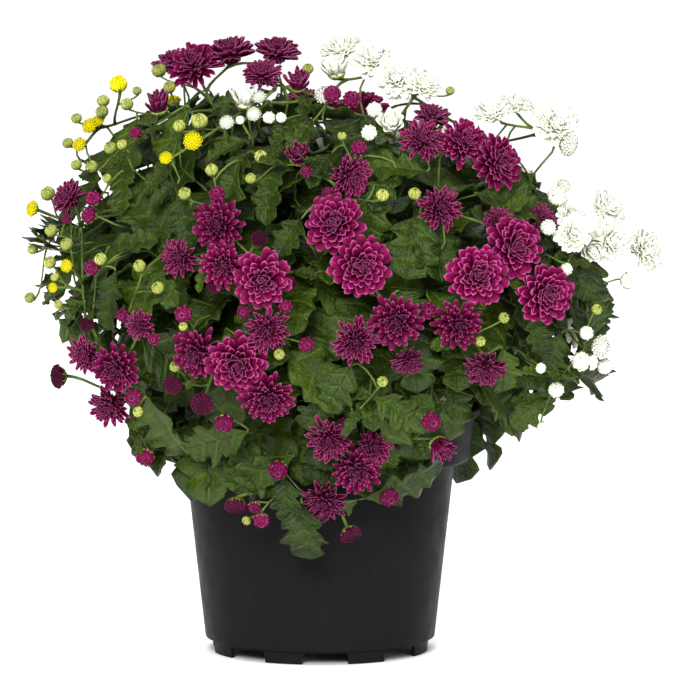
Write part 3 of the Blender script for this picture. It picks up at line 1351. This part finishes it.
# %% Leaves seen from the front
LEAF_SEED = 11
LEAF_RISE = Vector((0, 0, 0.5))
LEAF_BASE_SINK = 14
LEAF_TIP_SINK = 6
SEEN_TINTS = (0.0, 0.35)
LEAF_STALK_RADIUS = BUD_STALK_RADIUS * 1.1


def leaf_matrix(base, tip, upper, half_width):
    """Puts a leaf mesh between its base and its tip, with its upper side to upper."""
    along = (tip - base).normalized()
    side = along.cross(upper).normalized()
    face = side.cross(along)
    length = (tip - base).length
    turn = Matrix((side, along, face)).transposed().to_4x4()
    size = Matrix.Diagonal((half_width, length, length, 1))
    return Matrix.Translation(base) @ turn @ size


def set_leaf(base, tip, upper, width, meshes, rng, tint):
    """Give a leaf to the nearest stem, with a stalk from that stem's nearest joint."""
    cost, spray, joint = min(
        (((joint[0] - base).length, spray, joint) for spray in sprays for joint in spray.joints),
        key=lambda row: row[0],
    )
    if (joint[0] - base).length > 1.0 * MM:
        leave = (joint[1] + (base - joint[0]).normalized()).normalized()
        path = bent_path(joint[0], base, leave, (tip - base).normalized(), 4)
        spray.tubes.append((path, [LEAF_STALK_RADIUS] * len(path)))
    mesh = meshes[rng.randrange(len(meshes))]
    spray.leaves.append((mesh, leaf_matrix(base, tip, upper, width / 2), tint))


leaf_rng = random.Random(LEAF_SEED)
for across, down, tip_across, tip_down, points in LEAVES_SEEN:
    base, outward = on_crown(*seen_at(across, down), LEAF_BASE_SINK)
    tip, tip_outward = on_crown(*seen_at(tip_across, tip_down), LEAF_TIP_SINK)
    upper = (outward + tip_outward + LEAF_RISE).normalized()
    tint = leaf_rng.uniform(*SEEN_TINTS)
    set_leaf(base, tip, upper, seen_width(points) * MM, LARGE_LEAVES, leaf_rng, tint)

print("leaves seen from the front:", sum(len(spray.leaves) for spray in sprays))

# %% [markdown]
# The many other leaves fill the crown with green. They lie on five shells inside it like loose
# shingles, turned outwards and drooping a little by chance. Only those are kept that stay within
# the outline of the leafy part, as the front view shows it, and clear of the open blooms.

# %% Leaves that fill the crown
FILL_SHELLS = ((0.36, 80), (0.52, 150), (0.68, 210), (0.80, 220), (0.90, 190))
INNER_SHELLS = 3
BLOOM_ROOM = 0.95
FILL_LENGTHS = (32 * MM, 50 * MM)
FILL_WIDTHS = (0.68, 0.86)
FILL_TOP = 0.96
FILL_FALL = 1.72
FILL_SHELL_TURN = 0.27
FILL_DROOP = (0.1, 0.9)
FILL_UPPER = Vector((0, 0, 0.7))
FILL_TINTS = (0, 0.45)
FILL_REACH = 54 * MM
RIM_SLACK = 8 * MM
OVER_RIM_SLACK = 12 * MM
LOWEST_LEAF = 116 * MM
LEAF_LIMIT = (
    (183, 472), (150, 470), (124, 440), (104, 425), (90, 408), (76, 352), (56, 322), (38, 300),
    (42, 262), (26, 240), (26, 222), (46, 205), (60, 178), (78, 150), (94, 130), (110, 114),
    (130, 106), (152, 94), (182, 84), (216, 86), (250, 82), (290, 86), (312, 96), (352, 106),
    (400, 106), (440, 120), (482, 130), (520, 142), (548, 164), (564, 192), (588, 226), (612, 268),
    (610, 300), (606, 330), (618, 385), (600, 396), (560, 405), (545, 430), (515, 428), (498, 400),
    (478, 404), (450, 478), (400, 500), (322, 562), (300, 540), (240, 505),
)


def hits_bloom(*points):
    """Whether a leaf through these points would stick out of an open bloom."""
    return any(
        (point - bloom["place"]).length < bloom["radius"] * BLOOM_ROOM
        for bloom in blooms if bloom["kind"] != "bud" for point in points
    )


filled = 0
for shell, (share, count) in enumerate(FILL_SHELLS):
    for index in range(count):
        turn = math.tau * ((index * GOLDEN_SHARE + shell * FILL_SHELL_TURN) % 1.0)
        height = FILL_TOP - FILL_FALL * (index + 0.5) / count
        middle, outward = crown_point(turn, height, share)
        wander = Vector((leaf_rng.gauss(0, 1), leaf_rng.gauss(0, 1), leaf_rng.gauss(0, 0.7)))
        droop = Vector((0, 0, -leaf_rng.uniform(*FILL_DROOP)))
        way = (outward * 0.55 + droop + wander * 0.45).normalized()
        length = leaf_rng.uniform(*FILL_LENGTHS)
        base = middle - way * length * 0.5
        tip = middle + way * length * 0.5
        off_pot = Vector((tip.x, tip.y)).length > CLEAR_OF_POT - RIM_SLACK
        if tip.z < LOWEST_LEAF or (tip.z < LOW_LEVEL - OVER_RIM_SLACK and not off_pot):
            continue
        if not inside(LEAF_LIMIT, tip) or not inside(LEAF_LIMIT, base) or crown_share(tip) > 1.0:
            continue
        if min((joint[0] - base).length for spray in sprays for joint in spray.joints) > FILL_REACH:
            continue
        if hits_bloom(base, middle, tip):
            continue
        upper = (FILL_UPPER + outward * 1.2 + wander * 0.25).normalized()
        width = length * leaf_rng.uniform(*FILL_WIDTHS)
        shapes = INNER_LEAVES if shell < INNER_SHELLS else SMALL_LEAVES
        set_leaf(base, tip, upper, width, shapes, leaf_rng, leaf_rng.uniform(*FILL_TINTS))
        filled += 1

print("filling leaves:", filled)

# %% [markdown]
# A skirt of leaves hangs over the rim of the pot all round, save at the right, where the photograph
# shows the rim and a strip of soil.

# %% Leaves over the rim
SKIRT_LEAVES = 60
SKIRT_TURNS_FREE = (34, 102)
SKIRT_RADII = (94 * MM, 116 * MM)
SKIRT_HEIGHTS = (158 * MM, 116 * MM)
SKIRT_SWAY = 18
SKIRT_WIDTHS = (0.66, 0.84)
SKIRT_SWINGS = {"base_in": (0, 14), "base_up": (-4, 16), "tip_out": (-6, 6), "tip_up": (-12, 16)}
SKIRT_TINTS = (0, 0.4)
skirt = 0
for index in range(SKIRT_LEAVES):
    side = 360 * ((index * GOLDEN_SHARE) % 1.0)
    if SKIRT_TURNS_FREE[0] < side < SKIRT_TURNS_FREE[1]:
        continue
    turn = math.radians(side)
    outward = Vector((math.sin(turn), -math.cos(turn), 0))
    base = outward * (SKIRT_RADII[0] - leaf_rng.uniform(*SKIRT_SWINGS["base_in"]) * MM)
    base.z = SKIRT_HEIGHTS[0] + leaf_rng.uniform(*SKIRT_SWINGS["base_up"]) * MM
    sway = outward.cross(UP) * leaf_rng.uniform(-SKIRT_SWAY, SKIRT_SWAY) * MM
    tip = outward * (SKIRT_RADII[1] + leaf_rng.uniform(*SKIRT_SWINGS["tip_out"]) * MM) + sway
    tip.z = SKIRT_HEIGHTS[1] + leaf_rng.uniform(*SKIRT_SWINGS["tip_up"]) * MM
    width = (tip - base).length * leaf_rng.uniform(*SKIRT_WIDTHS)
    upper = (outward + LEAF_RISE).normalized()
    set_leaf(base, tip, upper, width, SMALL_LEAVES, leaf_rng, leaf_rng.uniform(*SKIRT_TINTS))
    skirt += 1

print("leaves over the rim:", skirt)

# %% [markdown]
# Small leaves stand on the longer flower stalks, one or two on each.

# %% Leaves on the stalks
BRACT_SHARES = (0.40, 0.72)
BRACT_LENGTHS = (13 * MM, 24 * MM)
BRACT_WIDTHS = (0.45, 0.65)
BRACT_REACH = 1.06
BRACT_UPPER = Vector((0, 0, 0.8))
BRACT_TINTS = (0.1, 0.5)
LONG_ENOUGH = 24 * MM
bracts = 0
for spray in sprays:
    for path, radii in spray.stalks:
        if (path[-1] - path[0]).length < LONG_ENOUGH:
            continue
        for share in BRACT_SHARES:
            base = path[round(share * (len(path) - 1))]
            outward = (base - CROWN).normalized()
            wander = Vector((leaf_rng.gauss(0, 1), leaf_rng.gauss(0, 1), leaf_rng.gauss(0, 0.6)))
            length = leaf_rng.uniform(*BRACT_LENGTHS)
            tip = base + (outward * 0.6 + wander * 0.6).normalized() * length
            past = crown_share(tip) > BRACT_REACH
            if not inside(LEAF_LIMIT, tip) or past or hits_bloom(tip, (base + tip) / 2):
                continue
            upper = (BRACT_UPPER + outward).normalized()
            mesh = SMALL_LEAVES[leaf_rng.randrange(LEAF_SHAPES)]
            width = length * leaf_rng.uniform(*BRACT_WIDTHS)
            tint = leaf_rng.uniform(*BRACT_TINTS)
            spray.leaves.append((mesh, leaf_matrix(base, tip, upper, width / 2), tint))
            bracts += 1
print("leaves on stalks:", bracts, "leaves in all:", sum(len(spray.leaves) for spray in sprays))

# %% [markdown]
# Under each bloom sits a green cup of overlapping scales, and a closed bud is hardly more than that:
# a ball of scales with, in some, the tip of the coloured petals showing. The scales use the petal
# maker again, short and broad, hugging a flat green bowl.

# %% Bud scales and calyx cups
CALYX_SHARE = {"open": 0.36, "half": 0.38, "cup": 0.62, "button": 0.74, "bud": 1.03}


def grow_scales(plot, bloom, rng):
    """The green scales that hug a bloom or a bud from below, in two rings round a small ball."""
    size = CALYX_SHARE[bloom["form"]] * bloom["radius"]
    foot = Matrix.Translation(stalk_end(bloom)) @ frame_along(bloom["axis"])
    start = rng.uniform(0, math.tau)
    if bloom["form"] != "bud":
        bowl = Matrix.Diagonal((0.9 * size, 0.9 * size, 0.44 * size, 1))
        plot.add(BALL, foot @ Matrix.Translation((0, 0, 0.46 * size)) @ bowl, tint=0.1)
        ring_of_wraps(plot, SHORT_WRAP, foot, size, start, rng, 0.0, 0.30)
    elif bloom["colour"] == "green":
        ring_of_wraps(plot, MIDDLE_WRAP, foot, size, start, rng, 0.0, 0.45)
    ring_of_wraps(plot, SHORT_WRAP, foot, size * 1.04, start + HALF_STEP, rng, 0.0, 0.22)


print("scales on", len(blooms), "blooms and buds")

# %% [markdown]
# Now each leafy stem becomes a few pieces, one for each finish: its stalks, its leaves, its scales,
# and the small blooms and coloured bud tips that grow on it. They all stand for the same solid. The
# stalks are drawn as curves with a faintly ribbed section and a radius at each point, which is the
# simplest way to a smooth stem that thins towards its bloom.

# %% Build the leafy stems
STALK_RIBS = 4
RIB_VALLEY = 0.86
GREEN_SEED = 5


def tube_mesh(tubes, name):
    """All the stalks of a stem as one mesh, drawn as curves with a radius at each point."""
    section = bpy.data.curves.new("stalk_section", "CURVE")
    section.dimensions = "2D"
    ring = section.splines.new("POLY")
    ring.points.add(2 * STALK_RIBS - 1)
    for index in range(2 * STALK_RIBS):
        angle = -math.pi * index / STALK_RIBS
        reach = 1.0 if index % 2 else RIB_VALLEY
        ring.points[index].co = (reach * math.cos(angle), reach * math.sin(angle), 0, 1)
    ring.use_cyclic_u = True
    section_item = bpy.data.objects.new("stalk_section", section)
    bpy.context.scene.collection.objects.link(section_item)
    curve = bpy.data.curves.new(name, "CURVE")
    curve.dimensions = "3D"
    curve.bevel_mode = "OBJECT"
    curve.bevel_object = section_item
    curve.use_fill_caps = True
    for path, radii in tubes:
        spline = curve.splines.new("POLY")
        spline.points.add(len(path) - 1)
        for knot, point, radius in zip(spline.points, path, radii):
            knot.co = (*point, 1)
            knot.radius = radius
    item = bpy.data.objects.new(name, curve)
    bpy.context.scene.collection.objects.link(item)
    bpy.context.view_layer.update()
    mesh = bpy.data.meshes.new_from_object(item.evaluated_get(bpy.context.evaluated_depsgraph_get()))
    bpy.data.objects.remove(item, do_unlink=True)
    bpy.data.objects.remove(section_item, do_unlink=True)
    bm = bmesh.new()
    bm.from_mesh(mesh)
    bmesh.ops.remove_doubles(bm, verts=bm.verts, dist=1e-6)
    bmesh.ops.recalc_face_normals(bm, faces=bm.faces)
    bm.to_mesh(mesh)
    bm.free()
    mesh.materials.clear()
    for polygon in mesh.polygons:
        polygon.use_smooth = True
    return mesh


green_rng = random.Random(GREEN_SEED)
for spray in sprays:
    stalks = Plot()
    stalks.add(tube_mesh(spray.tubes, spray.name + "_tubes"), Matrix.Identity(4), tint=0.5)
    stalks.piece(spray.name + "_stalks", STALK, [spray.name])
    if spray.leaves:
        leaves = Plot()
        for mesh, matrix, tint in spray.leaves:
            leaves.add(mesh, matrix, tint=tint)
        leaves.piece(spray.name + "_leaves", LEAF, [spray.name])
    if spray.blooms:
        scales = Plot()
        for bloom in spray.blooms:
            grow_scales(scales, bloom, green_rng)
            if bloom["colour"] == "green":
                grow_bud(scales, bloom, green_rng)
        scales.piece(spray.name + "_scales", SCALE, [spray.name])
    for colour in ("purple", "white", "yellow"):
        own = [
            bloom for bloom in spray.blooms
            if bloom["colour"] == colour and bloom["node"] is None
        ]
        if own:
            small = Plot()
            for bloom in own:
                grow_bloom(small, bloom, green_rng)
            small.piece(f"{spray.name}_{colour}", PETAL_FINISH[colour], [spray.name])
for mesh in list(bpy.data.meshes):
    if mesh.users == 0:
        bpy.data.meshes.remove(mesh)

# %% [markdown]
# The pot is a thin moulded shell: a rolled lip, a tapering collar, a step in to the tapering body, a
# foot band with eight notches, and holes in its floor. One outline is turned round the axis, as the
# mould was, and the notches and holes are cut out afterwards.

# %% Turn the pot
POT_HEIGHT = 146 * MM
LIP_DEPTH = 5 * MM
COLLAR_TOP_RADIUS = 92.6 * MM
COLLAR_LOW_RADIUS = 89 * MM
COLLAR_BOTTOM = 114 * MM
BODY_TOP_RADIUS = 79.7 * MM
BODY_LOW_RADIUS = 68.2 * MM
FOOT_RADIUS = 65 * MM
FOOT_HEIGHT = 8 * MM
POT_WALL = 1.5 * MM
FLOOR_HEIGHT = 9 * MM
HUB_RADIUS = 10 * MM
POT_STEPS = 160


def arc(centre, radius, start, end, count):
    """Points of a round stretch of the outline, by its centre, radius and angles in degrees."""
    points = []
    for index in range(count + 1):
        angle = math.radians(start + (end - start) * index / count)
        points.append((centre[0] + radius * math.cos(angle), centre[1] + radius * math.sin(angle)))
    return points


def pot_outline():
    """The outline of the pot's wall, from the middle of its floor inside, over the lip, to its foot."""
    inner = [
        (0.0, FLOOR_HEIGHT + POT_WALL),
        (BODY_LOW_RADIUS - POT_WALL - 1.5 * MM, FLOOR_HEIGHT + POT_WALL),
        (BODY_LOW_RADIUS - POT_WALL, FLOOR_HEIGHT + POT_WALL + 1.5 * MM),
        (BODY_TOP_RADIUS - POT_WALL, COLLAR_BOTTOM - 3 * MM + POT_WALL),
        (COLLAR_LOW_RADIUS - POT_WALL - 1.0 * MM, COLLAR_BOTTOM + 1.8 * MM),
        (COLLAR_TOP_RADIUS - POT_WALL, POT_HEIGHT - 1.6 * MM),
    ]
    lip = arc((LIP_RADIUS - 1.4 * MM, POT_HEIGHT - 1.4 * MM), 1.4 * MM, 100, 0, 6)
    lip += arc((LIP_RADIUS - 0.6 * MM, POT_HEIGHT - LIP_DEPTH + 0.6 * MM), 0.6 * MM, 0, -90, 4)
    collar = [(COLLAR_TOP_RADIUS, POT_HEIGHT - LIP_DEPTH - 0.3 * MM)]
    collar += arc((COLLAR_LOW_RADIUS - 2.6 * MM, COLLAR_BOTTOM + 3 * MM), 3.0 * MM, 0, -90, 6)
    shoulder = arc((BODY_TOP_RADIUS + 2.0 * MM, COLLAR_BOTTOM - 2.4 * MM), 2.0 * MM, 90, 180, 4)
    body = [
        (BODY_LOW_RADIUS, FOOT_HEIGHT + 0.9 * MM), (BODY_LOW_RADIUS - 0.3 * MM, FOOT_HEIGHT + 0.2 * MM),
        (FOOT_RADIUS + 0.2 * MM, FOOT_HEIGHT - 0.2 * MM), (FOOT_RADIUS, FOOT_HEIGHT - 0.8 * MM),
        (FOOT_RADIUS - 0.5 * MM, 0.4 * MM), (FOOT_RADIUS - 0.9 * MM, 0.0),
    ]
    under = [
        (FOOT_RADIUS - 3.0 * MM, 0.0), (FOOT_RADIUS - 3.0 * MM, FLOOR_HEIGHT),
        (HUB_RADIUS, FLOOR_HEIGHT), (HUB_RADIUS, 0.0), (0.0, 0.0),
    ]
    return inner + lip + collar + shoulder + body + under


def turned(outline, steps):
    """A bmesh of an outline spun once round the Z axis."""
    bm = bmesh.new()
    points = [bm.verts.new((radius, 0, height)) for radius, height in outline]
    edges = [bm.edges.new(pair) for pair in zip(points, points[1:])]
    bmesh.ops.spin(
        bm, geom=points + edges, cent=(0, 0, 0), axis=(0, 0, 1), angle=math.tau, steps=steps, use_merge=True
    )
    bmesh.ops.remove_doubles(bm, verts=bm.verts, dist=1e-6)
    bmesh.ops.recalc_face_normals(bm, faces=bm.faces)
    return bm


def as_object(bm, name):
    """Close a bmesh as an object of its own."""
    mesh = bpy.data.meshes.new(name)
    bm.to_mesh(mesh)
    bm.free()
    item = bpy.data.objects.new(name, mesh)
    scene.collection.objects.link(item)
    return item


pot = as_object(turned(pot_outline(), POT_STEPS), "pot_shell")
print("turned pot:", len(pot.data.polygons), "faces")

# %% [markdown]
# The notches and drain holes are cut by one mesh of blocks and rods. The cut leaves flat faces
# beside round ones, so edges that turn sharply are marked, and the rest is shaded smooth.

# %% Notches and drain holes
NOTCH_COUNT = 8
NOTCH_WIDTH = 27 * MM
NOTCH_HEIGHT = 6.6 * MM
NOTCH_TURN = math.radians(3)
DRAIN_COUNT = 4
DRAIN_RADIUS = 4 * MM
DRAIN_CIRCLE = 42 * MM
SHARP_ANGLE = math.radians(35)


def foot_cutters():
    """One bmesh of the blocks that cut the notches and the rods that cut the drain holes."""
    bm = bmesh.new()
    for index in range(NOTCH_COUNT):
        block = bmesh.new()
        bmesh.ops.create_cube(block, size=1)
        bmesh.ops.scale(block, vec=(NOTCH_WIDTH, 20 * MM, 2 * NOTCH_HEIGHT), verts=block.verts)
        upright = [
            edge for edge in block.edges
            if abs(edge.verts[0].co.x - edge.verts[1].co.x) < 1e-6
            and abs(edge.verts[0].co.z - edge.verts[1].co.z) < 1e-6
        ]
        bmesh.ops.bevel(
            block, geom=upright, offset=2 * MM, segments=5, profile=0.5, affect="EDGES", material=-1
        )
        bmesh.ops.translate(block, vec=(0, -FOOT_RADIUS, 0), verts=block.verts)
        turn = Matrix.Rotation(math.tau * index / NOTCH_COUNT + NOTCH_TURN, 3, "Z")
        bmesh.ops.rotate(block, matrix=turn, verts=block.verts)
        mesh = bpy.data.meshes.new("notch")
        block.to_mesh(mesh)
        block.free()
        bm.from_mesh(mesh)
        bpy.data.meshes.remove(mesh)
    for index in range(DRAIN_COUNT):
        angle = math.tau * index / DRAIN_COUNT + NOTCH_TURN
        place = Vector((DRAIN_CIRCLE * math.sin(angle), -DRAIN_CIRCLE * math.cos(angle), FLOOR_HEIGHT))
        bmesh.ops.create_cone(
            bm, cap_ends=True, segments=32, radius1=DRAIN_RADIUS, radius2=DRAIN_RADIUS, depth=10 * MM,
            matrix=Matrix.Translation(place),
        )
    return bm


cutter = as_object(foot_cutters(), "pot_cutter")
cut = pot.modifiers.new("cut", "BOOLEAN")
cut.operation = "DIFFERENCE"
cut.object = cutter
cut.solver = "EXACT"
bpy.context.view_layer.update()
cut_mesh = bpy.data.meshes.new_from_object(pot.evaluated_get(bpy.context.evaluated_depsgraph_get()))
pot.modifiers.remove(cut)
pot.data = cut_mesh
bpy.data.objects.remove(cutter, do_unlink=True)
pot.data.shade_smooth()
bm = bmesh.new()
bm.from_mesh(pot.data)
for edge in bm.edges:
    if len(edge.link_faces) == 2 and edge.calc_face_angle() > SHARP_ANGLE:
        edge.smooth = False
open_edges = sum(len(edge.link_faces) != 2 for edge in bm.edges)
bm.to_mesh(pot.data)
bm.free()
print("pot faces:", len(pot.data.polygons), "open edges:", open_edges)

# %% [markdown]
# The pot's plastic is black with a dull satin skin, finely pebbled by its mould, and here and there
# a trace of dry soil dust lies on it.

# %% Pot finish
pot_finish = Finish("black_plastic", roughness=0.5)
pot_finish.shader.inputs["Specular IOR Level"].default_value = 0.03
dust = pot_finish.ramp(pot_finish.noise(34, 6), (0.50, grey(0)), (0.74, grey(1)))
fine_dust = pot_finish.ramp(pot_finish.noise(420, 4), (0.45, grey(0)), (0.7, grey(1)))
dusty = pot_finish.maths("MULTIPLY", pot_finish.maths("MULTIPLY", dust, fine_dust), 0.15)
pot_finish.colour(pot_finish.mix(dusty, hue(24, 24, 24), hue(58, 53, 46)))
pot_finish.bump(pot_finish.noise(2600, 2), 0.25, 0.12 * MM)
gloss = pot_finish.ramp(pot_finish.noise(90, 5), (0.3, grey(0.36)), (0.7, grey(0.52)))
pot_finish.wire(gloss, pot_finish.shader.inputs["Roughness"])
pot.data.materials.clear()
pot.data.materials.append(pot_finish.material)
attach(pot, "root")
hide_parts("pot")
print("pot finish:", pot_finish.material.name)

# %% [markdown]
# The soil is a dark, coarse potting mix: peat, bark crumbs and a few reddish bits. Its top is a
# turned disc whose points are pushed up and down by noise, and a few hundred small lumps lie on it.

# %% Soil
SOIL_RADIUS = 88 * MM
CRUMBS = 420
CRUMB_SIZES = (0.9 * MM, 2.6 * MM)
CRUMB_SHAPES = 6
CRUMB_REACH = 0.985
SOIL_RINGS = 26
SOIL_STEPS = 120
SOIL_SEED = 3
CLODS = (90, 2.2 * MM)
GRAINS = (320, 1.3 * MM)


def soil_mesh():
    """The plug of soil in the pot, with a rough top."""
    low_radius = BODY_LOW_RADIUS - POT_WALL - 0.8 * MM
    outline = [(0.0, SOIL_TOP)]
    outline += [(SOIL_RADIUS * step / SOIL_RINGS, SOIL_TOP) for step in range(1, SOIL_RINGS + 1)]
    outline += [
        (COLLAR_LOW_RADIUS - POT_WALL - 1.6 * MM, COLLAR_BOTTOM + 2.2 * MM),
        (BODY_TOP_RADIUS - POT_WALL - 0.6 * MM, COLLAR_BOTTOM - 2 * MM),
        (low_radius, FLOOR_HEIGHT + POT_WALL + 1 * MM), (0.0, FLOOR_HEIGHT + POT_WALL + 0.5 * MM),
    ]
    bm = turned(outline, SOIL_STEPS)
    for vertex in bm.verts:
        reach = Vector((vertex.co.x, vertex.co.y)).length
        if vertex.co.z > SOIL_TOP - 1 * MM and reach < SOIL_RADIUS - 1 * MM:
            rough = [noise.noise(vertex.co * pace) * height for pace, height in (CLODS, GRAINS)]
            vertex.co.z += sum(rough)
    return smooth_mesh(bm, "soil_plug")


def crumb_mesh(seed):
    """One lump of the mix: a coarse ball squeezed out of round by noise."""
    bm = bmesh.new()
    bmesh.ops.create_icosphere(bm, subdivisions=1, radius=1.0)
    for vertex in bm.verts:
        vertex.co *= 1 + 0.45 * noise.noise(vertex.co * 1.3 + Vector((seed * 7.1, 0, 0)))
        vertex.co.z *= 0.7
    mesh = bpy.data.meshes.new("crumb")
    bm.to_mesh(mesh)
    bm.free()
    return mesh


soil = Plot()
soil.add(soil_mesh(), Matrix.Identity(4), tint=0.3)
soil_rng = random.Random(SOIL_SEED)
crumb_shapes = [crumb_mesh(seed) for seed in range(CRUMB_SHAPES)]
for index in range(CRUMBS):
    reach = SOIL_RADIUS * math.sqrt(soil_rng.random()) * CRUMB_REACH
    turn = soil_rng.uniform(0, math.tau)
    size = soil_rng.uniform(*CRUMB_SIZES)
    place = Vector((reach * math.cos(turn), reach * math.sin(turn), SOIL_TOP + size * 0.3))
    spin = Matrix.Rotation(soil_rng.uniform(0, math.tau), 4, "Z")
    spin = spin @ Matrix.Rotation(soil_rng.uniform(0, 1.2), 4, "X")
    shape = crumb_shapes[index % len(crumb_shapes)]
    soil.add(shape, Matrix.Translation(place) @ spin @ Matrix.Scale(size, 4), tint=soil_rng.random())

soil_finish = Finish("potting_mix", roughness=0.95)
grain = soil_finish.ramp(
    soil_finish.noise(420, 6), (0.30, hue(24, 15, 10)), (0.55, hue(52, 34, 23)), (0.72, hue(84, 55, 36)),
)
red_bits = soil_finish.ramp(soil_finish.fact("tint"), (0.80, grey(0)), (0.90, grey(0.8)))
soil_finish.colour(soil_finish.mix(red_bits, grain, hue(104, 52, 34)))
soil_finish.bump(soil_finish.noise(900, 5), 0.9, 1.0 * MM)
soil.piece("soil_mix", soil_finish.material, ["soil"])
print("crumbs:", CRUMBS)

# %% [markdown]
# Two boxes are kept for comparison: the one of the solids, from the start, and the one of the
# finished plant. Then the frame checks that every piece rides and stands for something.

# %% Finish
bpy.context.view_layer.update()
triangles = {}
for item in scene.objects:
    if item.type == "MESH":
        item.data.calc_loop_triangles()
        triangles[item.name] = len(item.data.loop_triangles)
for kind in ("stalks", "leaves", "scales", "blooms"):
    print(kind, "have", sum(count for name, count in triangles.items() if kind in name), "triangles")
print("triangles in all:", sum(triangles.values()), "in the largest piece:", max(triangles.values()))
